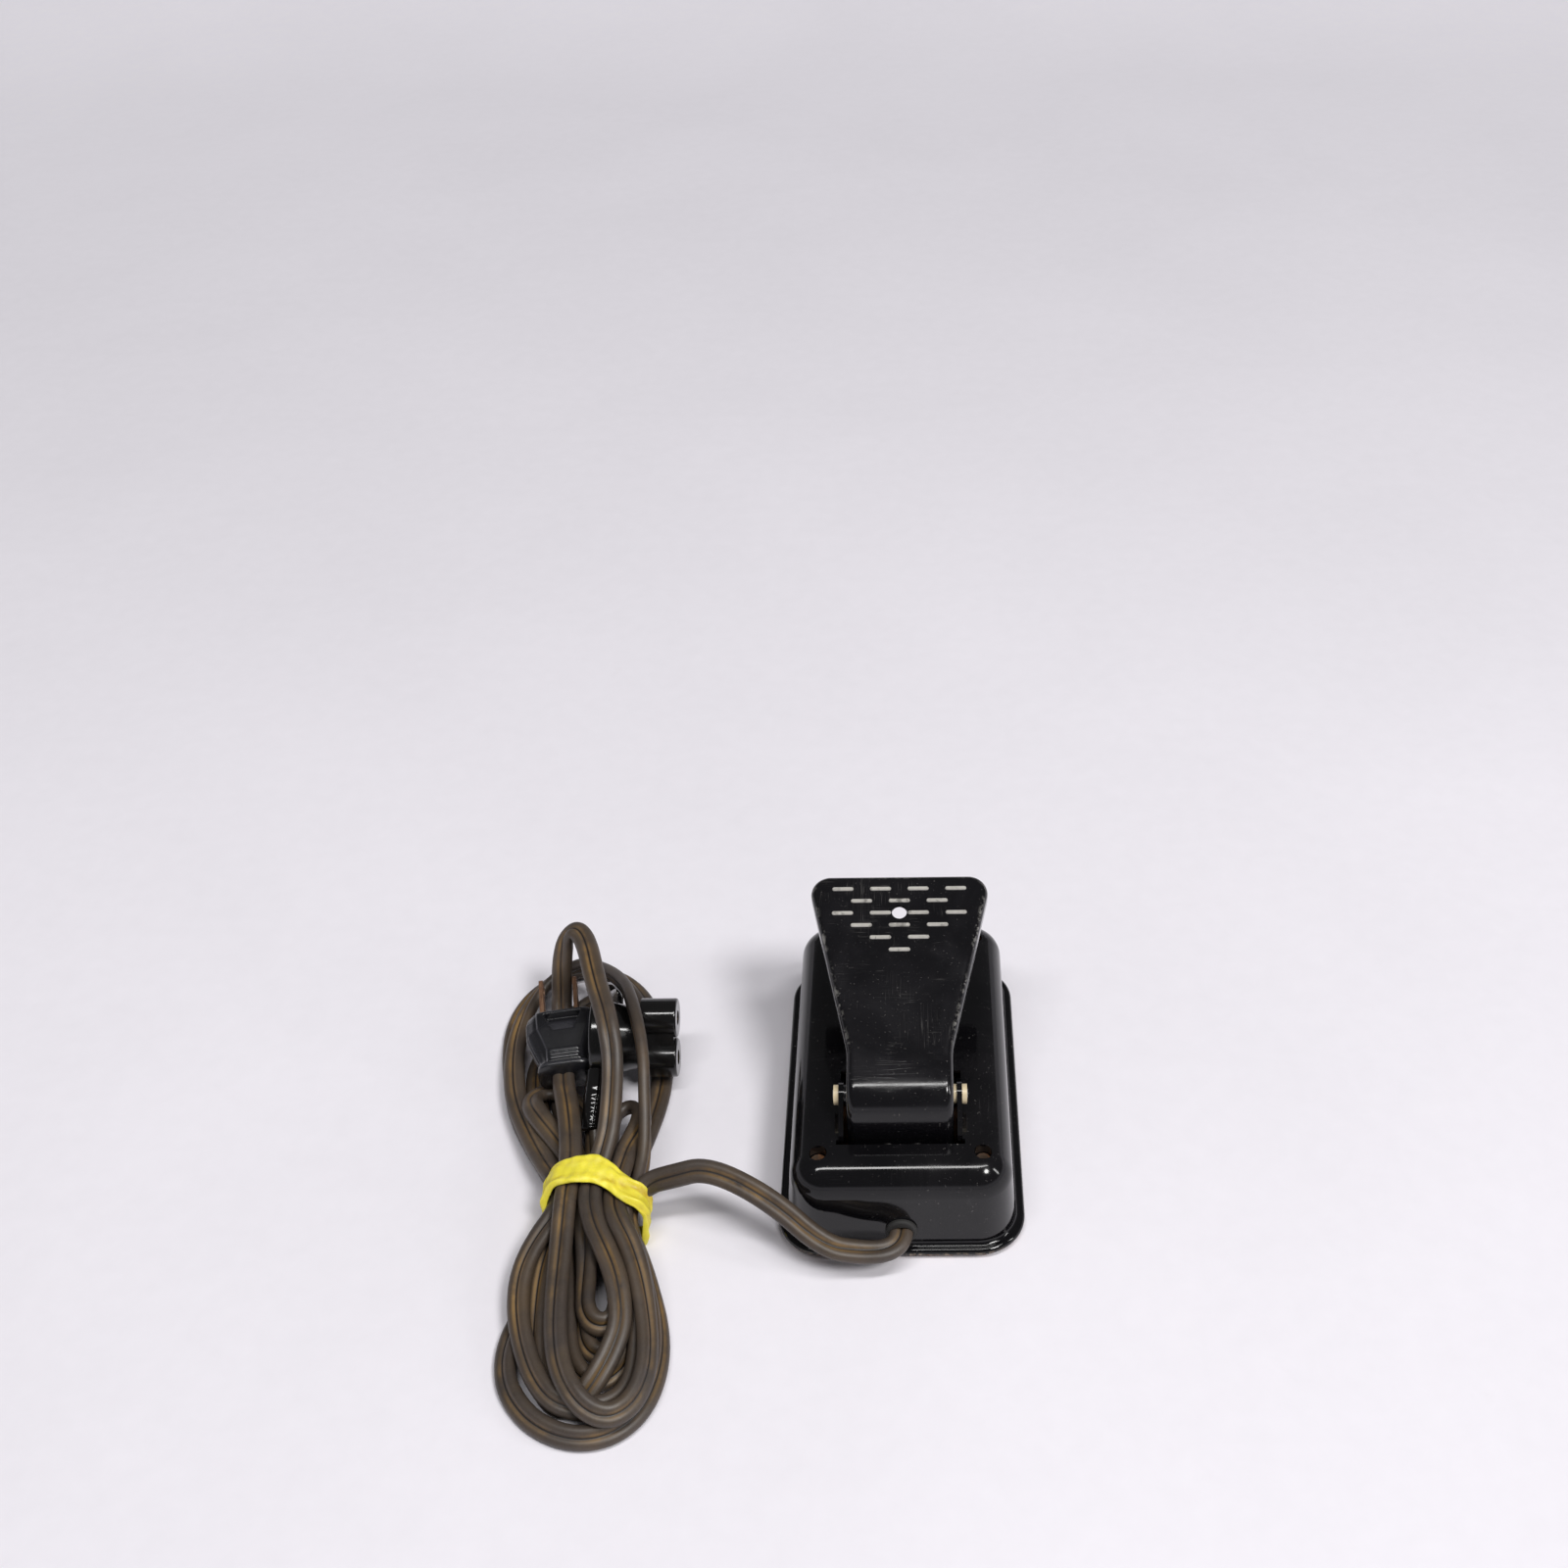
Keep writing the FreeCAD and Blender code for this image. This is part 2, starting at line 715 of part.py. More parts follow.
def crank_arm():
    """Bell crank: eye on the pin, tab on the skirt, ball at the bottom."""
    skirt_in = bend_radius - sheet
    tab_low = skirt_length - tab_rise - tab_height
    tab = box(tab_left, crank_left + crank_thickness, -(skirt_length - tab_rise), -tab_low,
              skirt_in - crank_thickness, skirt_in)
    tab = on_skirt(tab)
    corners = [V(0, -(skirt_length - tab_rise), skirt_in), V(0, -tab_low, skirt_in),
               V(0, -1.0, crank_eye), V(0, -3.0, 0)]
    web = slab(Part.makePolygon(corners + [corners[0]]), X_AXIS * crank_thickness)
    web = on_skirt(web)
    web.translate(X_AXIS * crank_left)
    eye = cylinder(crank_eye, crank_thickness, V(crank_left, pin_y, pin_z), X_AXIS)
    ball = V(ball_x, ball_y, ball_z)
    hang = V(ball_x, pin_y, pin_z) - ball
    hang.normalize()
    shoulder = ball + hang * (ball_radius + 2.5)
    blade_low = shoulder
    side = V(0, hang.z, -hang.y)
    top = V(ball_x, pin_y, pin_z)
    corners = [blade_low - side * 2.2, blade_low + side * 2.2, top + side * 4.0, top - side * 4.0]
    blade = slab(Part.makePolygon(corners + [corners[0]]), X_AXIS * crank_thickness)
    blade.translate(X_AXIS * (-crank_thickness / 2))
    stem = cylinder(crank_stem, (shoulder - ball).Length + 1.0, ball, hang)
    body = eye.multiFuse([tab, web, blade, stem, Part.makeSphere(ball_radius, ball)])
    body = body.removeSplitter()
    return body.cut(cylinder(pin_radius, crank_thickness, V(crank_left, pin_y, pin_z), X_AXIS))


def skirt_rivets():
    skirt_in = bend_radius - sheet
    middle = -(skirt_length - tab_rise - tab_height / 2)
    rivets = []
    for x in (tab_left + 3.5, crank_left - 3.5):
        low = skirt_in - crank_thickness
        shank = cylinder(rivet_radius, crank_thickness + sheet, V(x, middle, low))
        inner = cylinder(rivet_head, rivet_head_height, V(x, middle, low - rivet_head_height))
        outer = cylinder(rivet_head, rivet_head_height * 0.6, V(x, middle, bend_radius))
        rivets.append(on_skirt(shank.multiFuse([inner, outer]).removeSplitter()))
    return rivets


def with_rivet_holes(shape):
    """Clear the rivets' shanks out of the skirt or the crank's tab."""
    for rivet in skirt_rivets():
        shape = shape.cut(rivet)
    return shape


# ---------------------------------------------------------------- controller board
def board():
    middle = (board_front + board_rear) / 2
    length = (board_rear - board_front) / 2
    sheet_wire = rounded_rect(board_half, length, 3.0, board_bottom)
    plate = slab(sheet_wire, V(0, 0, board_thickness))
    plate.translate(V(0, middle, 0))
    for x, y in stud_places():
        plate = plate.cut(cylinder(stud_tail, board_thickness, V(x, y, board_bottom)))
    plate = plate.cut(cylinder(pivot_radius, board_thickness, V(0, pin_y, board_bottom)))
    for x, y in spacer_places():
        plate = plate.cut(cylinder(screw_radius, board_thickness, V(x, y, board_bottom)))
    return plate


def spacer_places():
    x = board_half - spacer_inset
    return [(sx * x, y) for sx in (-1, 1) for y in (board_front + spacer_inset,
                                                   board_rear - spacer_inset)]


def board_spacer(x, y):
    """Shouldered spacer riveted through the board."""
    body = cylinder(spacer_radius, board_bottom - plate_top, V(x, y, plate_top))
    neck = cylinder(screw_radius, board_thickness, V(x, y, board_bottom))
    head = cylinder(rivet_head, 0.8, V(x, y, board_top))
    return body.multiFuse([neck, head]).removeSplitter()


def stud_places():
    places = []
    for i in range(stud_count):
        angle = math.radians(90 + (i - (stud_count - 1) / 2) * stud_pitch)
        places.append((arm_reach * math.cos(angle), pin_y + arm_reach * math.sin(angle)))
    return places


def contact_stud(x, y):
    head = cylinder(stud_radius, stud_height, V(x, y, board_top))
    tail = cylinder(stud_tail, board_thickness + 1.5, V(x, y, board_top - board_thickness - 1.5))
    return head.fuse(tail).removeSplitter()


def arm_pivot():
    """Shoulder stud that the contact arm turns on, with its retaining head."""
    shaft_top = fork_bottom + fork_thickness + seat_gap
    collar = cylinder(pivot_radius + 1.6, 1.0, V(0, pin_y, board_top))
    shaft = cylinder(pivot_radius, shaft_top - board_bottom, V(0, pin_y, board_bottom))
    head = cylinder(pivot_radius + 1.4, 1.0, V(0, pin_y, shaft_top))
    return shaft.multiFuse([collar, head]).removeSplitter()


def turn_arm(shape):
    """The arm at rest, turned back from its middle position about the pivot."""
    turned = shape.copy()
    turned.rotate(V(0, pin_y, 0), Z_AXIS, arm_swing)
    return turned


def contact_hub():
    """Moulded hub with the forked tail that takes the crank's ball."""
    low = board_top + 1.0 + seat_gap
    high = fork_bottom + fork_thickness
    hub = cylinder(hub_radius, high - low, V(0, pin_y, low))
    slot_half = ball_radius + fork_slack
    tail_half_width = slot_half + 2.2
    tail_end = ball_x + ball_radius + 1.6
    tail = box(0, tail_end, pin_y - tail_half_width, pin_y + tail_half_width, fork_bottom, high)
    slot = box(ball_x - ball_radius - 0.4, tail_end, pin_y - slot_half, pin_y + slot_half,
               fork_bottom, high)
    body = hub.fuse(tail).removeSplitter().cut(slot)
    body = body.cut(cylinder(pivot_radius + running_gap, high - low, V(0, pin_y, low)))
    blade_room = box(-blade_width / 2, blade_width / 2, pin_y, pin_y + hub_radius + 1,
                     blade_bottom, blade_top)
    body = body.cut(blade_room.cut(cylinder(pivot_radius + 1.2, 20, V(0, pin_y, 0))))
    return turn_arm(body)


def contact_blade():
    """Tapered spring blade from the hub to the brush."""
    start = pin_y + pivot_radius + 1.2 + seat_gap
    end = pin_y + arm_reach
    corners = [V(-blade_width / 2, start, blade_bottom), V(blade_width / 2, start, blade_bottom),
               V(brush_radius, end, blade_bottom), V(-brush_radius, end, blade_bottom)]
    blade = slab(Part.makePolygon(corners + [corners[0]]), V(0, 0, blade_thickness))
    tip = cylinder(brush_radius, blade_thickness, V(0, end, blade_bottom))
    room = cylinder(pivot_radius + 1.2 + seat_gap, 20, V(0, pin_y, 0))
    return turn_arm(blade.fuse(tip).removeSplitter().cut(room))


def contact_brush():
    end = V(0, pin_y + arm_reach, board_top + stud_height + running_gap)
    return turn_arm(cylinder(brush_radius, blade_bottom - end.z, end))


# ---------------------------------------------------------------- resistor
def resistor_former():
    half = former_length / 2
    former = tube(former_radius, former_bore, former_length, V(-half, resistor_y, resistor_z),
                  X_AXIS)
    return former


def resistance_winding():
    """Wire wound close on the former, as one ridged sleeve."""
    start = -former_length / 2 + winding_margin
    pitch = (former_length - 2 * winding_margin) / winding_turns
    points = [V(start, 0, former_radius)]
    for i in range(winding_turns):
        points.append(V(start + (i + 0.5) * pitch, 0, former_radius + winding_depth))
        points.append(V(start + (i + 1) * pitch, 0, former_radius + 0.25))
    points.append(V(start + winding_turns * pitch, 0, former_radius))
    sleeve = Part.Face(Part.makePolygon(points + [points[0]])).revolve(V(0, 0, 0), X_AXIS, 360)
    sleeve.translate(V(0, resistor_y, resistor_z))
    return sleeve


def resistor_bracket(side):
    inside = former_length / 2
    upright = slab(rounded_wire([
        (V(inside, resistor_y - bracket_width / 2, plate_top), 0),
        (V(inside, resistor_y + bracket_width / 2, plate_top), 0),
        (V(inside, resistor_y + bracket_width / 2, resistor_z + bracket_width / 2), 5.0),
        (V(inside, resistor_y - bracket_width / 2, resistor_z + bracket_width / 2), 5.0),
    ]), X_AXIS * bracket_thickness)
    foot = box(inside + bracket_thickness, inside + bracket_thickness + 4.0,
               resistor_y - bracket_width / 2, resistor_y + bracket_width / 2,
               plate_top, plate_top + bracket_thickness)
    bracket = upright.fuse(foot).removeSplitter()
    bracket = bracket.cut(cylinder(rod_radius, bracket_thickness,
                                   V(inside, resistor_y, resistor_z), X_AXIS))
    return bracket if side > 0 else mirrored(bracket)


def resistor_rod():
    half = former_length / 2 + bracket_thickness + nut_height + 0.6
    return cylinder(rod_radius, 2 * half, V(-half, resistor_y, resistor_z), X_AXIS)


def rod_nut(side):
    inside = former_length / 2 + bracket_thickness
    radius = nut_across / math.sqrt(3)
    corners = [V(inside, resistor_y + radius * math.cos(math.radians(60 * i)),
                 resistor_z + radius * math.sin(math.radians(60 * i))) for i in range(7)]
    nut = slab(Part.makePolygon(corners), X_AXIS * nut_height)
    nut = nut.cut(cylinder(rod_radius, nut_height, V(inside, resistor_y, resistor_z), X_AXIS))
    return nut if side > 0 else mirrored(nut)


# ---------------------------------------------------------------- cord entry
def cord_grommet():
    """Rubber eyelet with a flange each side of the wall and an oval way for the flex."""
    groove = sheet / 2 + seat_gap
    outer = groove + grommet_lip
    profile = rounded_wire([
        (V(0, 0, -groove - 1.2), 0),
        (V(grommet_flange, 0, -groove - 1.2), 0),
        (V(grommet_flange, 0, -groove), 0),
        (V(entry_hole - running_gap, 0, -groove), 0),
        (V(entry_hole - running_gap, 0, groove), 0),
        (V(grommet_flange, 0, groove), 0),
        (V(grommet_flange, 0, outer), 0.9),
        (V(0, 0, outer), 0),
    ])
    ring = Part.Face(profile).revolve(V(0, 0, 0), Z_AXIS, 360)
    ring.rotate(V(0, 0, 0), X_AXIS, 90 - wall_draft)
    ring.translate(wall_point(entry_z) - wall_normal * (sheet / 2))
    way = slab(stadium(0, 0, 0, 2 * entry_bore_half, 2 * entry_bore_low), V(0, 0, 16))
    way.rotate(V(0, 0, 0), X_AXIS, 90)
    way.translate(V(0, wall_point(entry_z).y + 8, entry_z))
    return ring.cut(way)


def clamp_post():
    """Moulded bed that the flex lies on, standing on the base plate."""
    top = entry_z - cord_radius
    post = box(-clamp_half, clamp_half, clamp_y - clamp_length / 2, clamp_y + clamp_length / 2,
               plate_top, top)
    for side in (-1, 1):
        post = post.cut(cylinder(small_screw, 4.0, V(side * clamp_screw_x, clamp_y, top - 4.0)))
    return post


def clamp_strap():
    """Saddle over the flex, with a flat ear each side."""
    low = entry_z - cord_radius
    inside = cord_radius + seat_gap
    outside = inside + strap_thickness
    y0 = clamp_y - clamp_length / 2
    ears = box(-clamp_half, clamp_half, y0, y0 + clamp_length, low, low + strap_thickness)
    arch = cylinder(outside, clamp_length, V(0, y0, entry_z), Y_AXIS)
    legs = box(-outside, outside, y0, y0 + clamp_length, low, entry_z)
    strap = ears.multiFuse([arch, legs]).removeSplitter()
    strap = strap.cut(cylinder(inside, clamp_length, V(0, y0, entry_z), Y_AXIS))
    strap = strap.cut(box(-inside, inside, y0, y0 + clamp_length, low - outside, entry_z))
    strap = strap.common(box(-clamp_half, clamp_half, y0, y0 + clamp_length, low, 40))
    for side in (-1, 1):
        strap = strap.cut(cylinder(small_screw + seat_gap, strap_thickness,
                                   V(side * clamp_screw_x, clamp_y, low)))
    return strap


def small_fastener(x, y, seat, depth):
    """Cheese-head screw with a slot."""
    shank = cylinder(small_screw, depth, V(x, y, seat - depth))
    head = cylinder(small_head, small_head_height, V(x, y, seat))
    top = seat + small_head_height
    slot = box(x - small_head, x + small_head, y - 0.25, y + 0.25, top - 0.5, top)
    return shank.fuse(head).removeSplitter().cut(slot)


def clamp_screws():
    seat = entry_z - cord_radius + strap_thickness
    return [small_fastener(side * clamp_screw_x, clamp_y, seat, strap_thickness + 3.6)
            for side in (-1, 1)]


def block_places():
    return [block_x + (i - (block_ways - 1) / 2) * block_pitch for i in range(block_ways)]


def terminal_block():
    """Moulded block with a cross bore and a clamping screw for each way."""
    body = box(block_x - block_length / 2, block_x + block_length / 2,
               block_y - block_depth / 2, block_y + block_depth / 2,
               plate_top, plate_top + block_height)
    uprights = [edge for edge in body.Edges if edge.BoundBox.ZLength > block_height - 0.01]
    body = body.makeFillet(1.2, uprights)
    for x in block_places():
        body = body.cut(cylinder(block_bore, block_depth,
                                 V(x, block_y - block_depth / 2, plate_top + 3.2), Y_AXIS))
        body = body.cut(cylinder(small_screw, block_height - 3.2,
                                 V(x, block_y, plate_top + 3.2)))
    return body


def terminal_screws():
    top = plate_top + block_height
    return [small_fastener(x, block_y, top, block_height - 3.2 - 1.0) for x in block_places()]


# ---------------------------------------------------------------- flex, plug and connector
def routed(points):
    """Straight runs joined by tangent arcs, each as large as its shorter run allows."""
    edges = []
    radii = []
    last = points[0]
    for i in range(1, len(points) - 1):
        back = points[i - 1] - points[i]
        ahead = points[i + 1] - points[i]
        reach = 0.45 * min(back.Length, ahead.Length)
        turn = math.pi - back.getAngle(ahead)
        radius = reach / math.tan(turn / 2)
        radii.append(radius)
        back.normalize()
        ahead.normalize()
        start = points[i] + back * reach
        end = points[i] + ahead * reach
        bisector = (back + ahead).normalize()
        middle = points[i] + bisector * (radius / math.cos(turn / 2) - radius)
        edges.append(Part.LineSegment(last, start).toShape())
        edges.append(Part.Arc(start, middle, end).toShape())
        last = end
    edges.append(Part.LineSegment(last, points[-1]).toShape())
    return Part.Wire(edges), radii


def flex_tube(points, radius, name):
    """Round tube along the route; prints its bends and checks its volume."""
    route = [V(*point) for point in points]
    path, radii = routed(route)
    section = Part.Wire(Part.makeCircle(radius, route[0], route[1] - route[0]))
    solid = path.makePipeShell([section], True, False)
    wanted = math.pi * radius ** 2 * path.Length
    print(name, "bend radii", [round(value, 1) for value in radii],
          "length", round(path.Length, 1), "volume ratio", round(solid.Volume / wanted, 3))
    if abs(solid.Volume / wanted - 1) > 0.02:
        raise ValueError("bad volume: " + name)
    return solid


def connector_axis(shape):
    """From a frame with the connector's axis along X to its place in the hank."""
    placed = shape.copy()
    placed.rotate(V(0, 0, 0), X_AXIS, barrel_lean - 90)
    placed.translate(V(*connector_at))
    return placed


def machine_connector():
    """Moulded terminal: flange, neck and two round barrels side by side."""
    length = disc_thickness + neck_length_connector
    flange = cylinder(disc_radius, disc_thickness, V(0, 0, 0), X_AXIS)
    rims = [edge for edge in flange.Edges if edge.BoundBox.YLength > disc_radius]
    flange = flange.makeFillet(1.4, rims)
    neck = Part.makeCone(neck_radius + 1.5, neck_radius - 1.0, neck_length_connector + 0.5,
                         V(disc_thickness - 0.5, 0, 0), X_AXIS)
    parts = [neck]
    for side in (-1, 1):
        centre = V(length - 0.5, 0, side * barrel_pitch / 2)
        barrel = cylinder(barrel_radius, barrel_length + 0.5, centre, X_AXIS)
        end = [edge for edge in barrel.Edges
               if edge.BoundBox.XMin > length + barrel_length - 0.01]
        parts.append(barrel.makeFillet(0.8, end))
    web = box(length - 0.5, length + barrel_length - 1.0, -barrel_radius + 2.2,
              barrel_radius - 2.2, -barrel_pitch / 2, barrel_pitch / 2)
    parts.append(web)
    body = flange.multiFuse(parts).removeSplitter()
    for side in (-1, 1):
        mouth = V(length + barrel_length - sleeve_depth, 0, side * barrel_pitch / 2)
        body = body.cut(cylinder(sleeve_radius, sleeve_depth, mouth, X_AXIS))
    return connector_axis(body)


def connector_contacts():
    """Brass sleeves in the barrels' ends."""
    end = disc_thickness + neck_length_connector + barrel_length
    sleeves = []
    for side in (-1, 1):
        base = V(end - sleeve_depth, 0, side * barrel_pitch / 2)
        sleeves.append(connector_axis(tube(sleeve_radius, sleeve_bore, sleeve_depth - 0.6,
                                           base, X_AXIS)))
    return sleeves


def place_plug(shape):
    """From a frame with the blades along +Y to the plug's place on the hank."""
    placed = shape.copy()
    placed.rotate(V(0, 0, 0), X_AXIS, plug_tilt)
    placed.rotate(V(0, 0, 0), Z_AXIS, plug_turn)
    placed.translate(V(*plug_at))
    return placed


def plug_section(y, half, thickness, radius):
    """Rounded section of the plug's body at station y."""
    t = thickness / 2
    return rounded_wire([
        (V(half, y, t), radius),
        (V(-half, y, t), radius),
        (V(-half, y, -t), radius),
        (V(half, y, -t), radius),
    ])


def mains_plug():
    """Moulded two-blade plug, waisted for the fingers."""
    body = Part.makeLoft([
        plug_section(0.0, plug_rear_half, plug_rear_thickness, 3.5),
        plug_section(3.0, plug_rear_half - 0.2, plug_rear_thickness - 1.0, 3.5),
        plug_section(7.0, plug_waist_half, plug_rear_thickness - 2.4, 3.5),
        plug_section(13.0, plug_face_half - 1.6, plug_face_thickness - 0.6, 3.5),
        plug_section(19.0, plug_face_half, plug_face_thickness, 3.5),
        plug_section(plug_length, plug_face_half - 0.6, plug_face_thickness - 0.4, 3.5),
    ], True, False)
    for i in range(3):
        y = 5.2 + 2.0 * i
        for face in (-1, 1):
            groove = box(-5.5, 5.5, y, y + 0.8, 0, 0.8)
            groove.translate(V(0, 0, face * (plug_rear_thickness / 2 - 0.9) - 0.4))
            body = body.cut(groove)
    window = rounded_wire([(V(-6.0, 23.5, 5.4), 0.6), (V(6.0, 23.5, 5.4), 0.6),
                           (V(3.2, 18.5, 5.4), 0.6), (V(-3.2, 18.5, 5.4), 0.6)])
    body = body.cut(slab(window, V(0, 0, 5)))
    for side in (-1, 1):
        x = side * blade_gap / 2
        body = body.cut(box(x - blade_thickness_plug / 2, x + blade_thickness_plug / 2,
                            plug_length - blade_buried, plug_length + 1,
                            -blade_width_plug / 2, blade_width_plug / 2))
    return place_plug(body)


def plug_blades():
    blades = []
    for side in (-1, 1):
        x = side * blade_gap / 2
        y0 = plug_length - blade_buried
        y1 = plug_length + blade_reach
        w = blade_width_plug / 2
        outline = rounded_wire([
            (V(x - blade_thickness_plug / 2, y0, -w), 0),
            (V(x - blade_thickness_plug / 2, y0, w), 0),
            (V(x - blade_thickness_plug / 2, y1, w), 1.8),
            (V(x - blade_thickness_plug / 2, y1, -w), 1.8),
        ])
        blade = slab(outline, X_AXIS * blade_thickness_plug)
        hole = cylinder(1.5, blade_thickness_plug,
                        V(x - blade_thickness_plug / 2, y1 - 4.0, 0), X_AXIS)
        blades.append(place_plug(blade.cut(hole)))
    return blades


def hank_section(station, shrink=0.0):
    """Flattened oval standing on the floor across the hank."""
    y, left, right, low, top = station
    half = (right - left) / 2 - shrink
    high = (top - low) / 2 - shrink
    radius = min(half, high) * 0.98
    x = (left + right) / 2
    z = (top + low) / 2
    return rounded_wire([
        (V(x + half, y, z + high), radius),
        (V(x - half, y, z + high), radius),
        (V(x - half, y, z - high), radius),
        (V(x + half, y, z - high), radius),
    ])


def ridge_ring(index):
    """Flattened oval square to the ridge's rise at one of its stations."""
    x, y, z, half, thick = ridge_stations[index]
    before = ridge_stations[max(index - 1, 0)]
    after = ridge_stations[min(index + 1, len(ridge_stations) - 1)]
    slope = math.degrees(math.atan2(after[2] - before[2], after[1] - before[1]))
    ring = rounded_wire([
        (V(half, 0, thick), thick * 0.98),
        (V(-half, 0, thick), thick * 0.98),
        (V(-half, 0, -thick), thick * 0.98),
        (V(half, 0, -thick), thick * 0.98),
    ])
    ring.rotate(V(0, 0, 0), X_AXIS, slope)
    ring.translate(V(x, y, z))
    return ring


def cord_hank():
    """Outer shape of the tied hank, with the strands that climb over the connector."""
    body = Part.makeLoft([hank_section(station) for station in hank_stations], True, True)
    ridge = Part.makeLoft([ridge_ring(i) for i in range(len(ridge_stations))], True, True)
    return body.fuse(ridge)


def hank_station_at(y):
    """Station between two listed ones."""
    lower = max(station for station in hank_stations if station[0] <= y)
    upper = min(station for station in hank_stations if station[0] > y)
    t = (y - lower[0]) / (upper[0] - lower[0])
    return [y] + [lower[i] + t * (upper[i] - lower[i]) for i in (1, 2, 3, 4)]


def rubber_band():
    """Flat band round the hank's waist, lying on its surface."""
    inside = [y for y in (station[0] for station in hank_stations)
              if band_ends[0] < y < band_ends[1]]
    stations = [hank_station_at(y) for y in (band_ends[0], *inside, band_ends[1])]
    outer = [hank_section(station, -seat_gap - band_thickness) for station in stations]
    inner = [hank_section(station, -seat_gap) for station in stations]
    return Part.makeLoft(outer, True, True).cut(Part.makeLoft(inner, True, True))


# ---------------------------------------------------------------- build
os.makedirs("parts", exist_ok=True)

# case
export("base_plate", base_plate())
export("cover_shell", cover_shell())
export("cover_pillars", *on_four_corners(screw_x, screw_y, pillar))
export("cover_screws", *on_four_corners(screw_x, screw_y, cover_screw))
export("rubber_feet", *on_four_corners(foot_x, foot_y, rubber_foot))

# hinge and treadle
export("treadle", with_rivet_holes(treadle()))
export("pivot_pin", pivot_pin())
export("pivot_bushes", pivot_bush(1), pivot_bush(-1))
export("side_washer_right", side_washer(1))
export("side_washer_left", side_washer(-1))
export("spring_cup", spring_cup())
export("return_spring", return_spring())
export("crank_arm", with_rivet_holes(crank_arm()))
export("crank_rivets", *skirt_rivets())

# speed controller
export("contact_board", board())
export("board_spacers", *[board_spacer(x, y) for x, y in spacer_places()])
export("contact_studs", *[contact_stud(x, y) for x, y in stud_places()])
export("arm_pivot", arm_pivot())
export("contact_hub", contact_hub())
export("contact_blade", contact_blade())
export("contact_brush", contact_brush())
export("resistor_former", resistor_former())
export("resistance_winding", resistance_winding())
export("resistor_brackets", resistor_bracket(1), resistor_bracket(-1))
export("resistor_rod", resistor_rod())
export("resistor_nuts", rod_nut(1), rod_nut(-1))

# cord entry
export("cord_grommet", cord_grommet())
export("clamp_post", clamp_post())
export("clamp_strap", clamp_strap())
export("clamp_screws", *clamp_screws())
export("terminal_block", terminal_block())
export("terminal_screws", *terminal_screws())

# flex
export("pedal_lead", flex_tube(lead_points, cord_radius, "pedal_lead"))
export("cord_hank", cord_hank())
export("rubber_band", rubber_band())
export("machine_connector", machine_connector())
export("connector_contacts", *connector_contacts())
export("mains_plug", mains_plug())
export("plug_blades", *plug_blades())
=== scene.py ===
import math

import bpy
import numpy as np
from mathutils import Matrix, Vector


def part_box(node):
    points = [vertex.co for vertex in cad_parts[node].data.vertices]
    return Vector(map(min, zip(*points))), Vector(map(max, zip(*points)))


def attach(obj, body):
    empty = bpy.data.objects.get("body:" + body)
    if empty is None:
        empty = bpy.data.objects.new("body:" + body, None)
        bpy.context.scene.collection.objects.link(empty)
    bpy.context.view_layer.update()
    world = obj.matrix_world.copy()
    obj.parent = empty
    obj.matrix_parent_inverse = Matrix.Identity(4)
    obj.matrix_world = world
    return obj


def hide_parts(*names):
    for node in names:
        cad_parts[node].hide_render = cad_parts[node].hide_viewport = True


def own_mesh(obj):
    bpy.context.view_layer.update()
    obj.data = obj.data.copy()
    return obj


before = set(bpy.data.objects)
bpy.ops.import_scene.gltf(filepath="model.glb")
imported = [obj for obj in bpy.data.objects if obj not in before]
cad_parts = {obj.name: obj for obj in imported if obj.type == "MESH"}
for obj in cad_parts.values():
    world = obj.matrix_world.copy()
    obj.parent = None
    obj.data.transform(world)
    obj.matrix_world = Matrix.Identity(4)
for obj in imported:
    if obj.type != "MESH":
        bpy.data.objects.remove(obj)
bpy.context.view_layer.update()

scene = bpy.context.scene
mm = 0.001

camera = {
    "place": (0.007783, -0.446450, 0.512),
    "turn": (51.28574, 0.78031, 0.03458),   # degrees, X then Y then Z
    "sensor": 36.0,
    "lens": 40.995,
    "shift": -0.0763125,
    "clip": 0.01,
}

lens = bpy.data.cameras.new("studioCamera")
lens.sensor_width = camera["sensor"]
lens.lens = camera["lens"]
lens.shift_x = camera["shift"]
lens.clip_start = camera["clip"]
viewer = bpy.data.objects.new("studioCamera", lens)
viewer.location = camera["place"]
viewer.rotation_euler = [math.radians(a) for a in camera["turn"]]
scene.collection.objects.link(viewer)
scene.camera = viewer
print("camera placed")


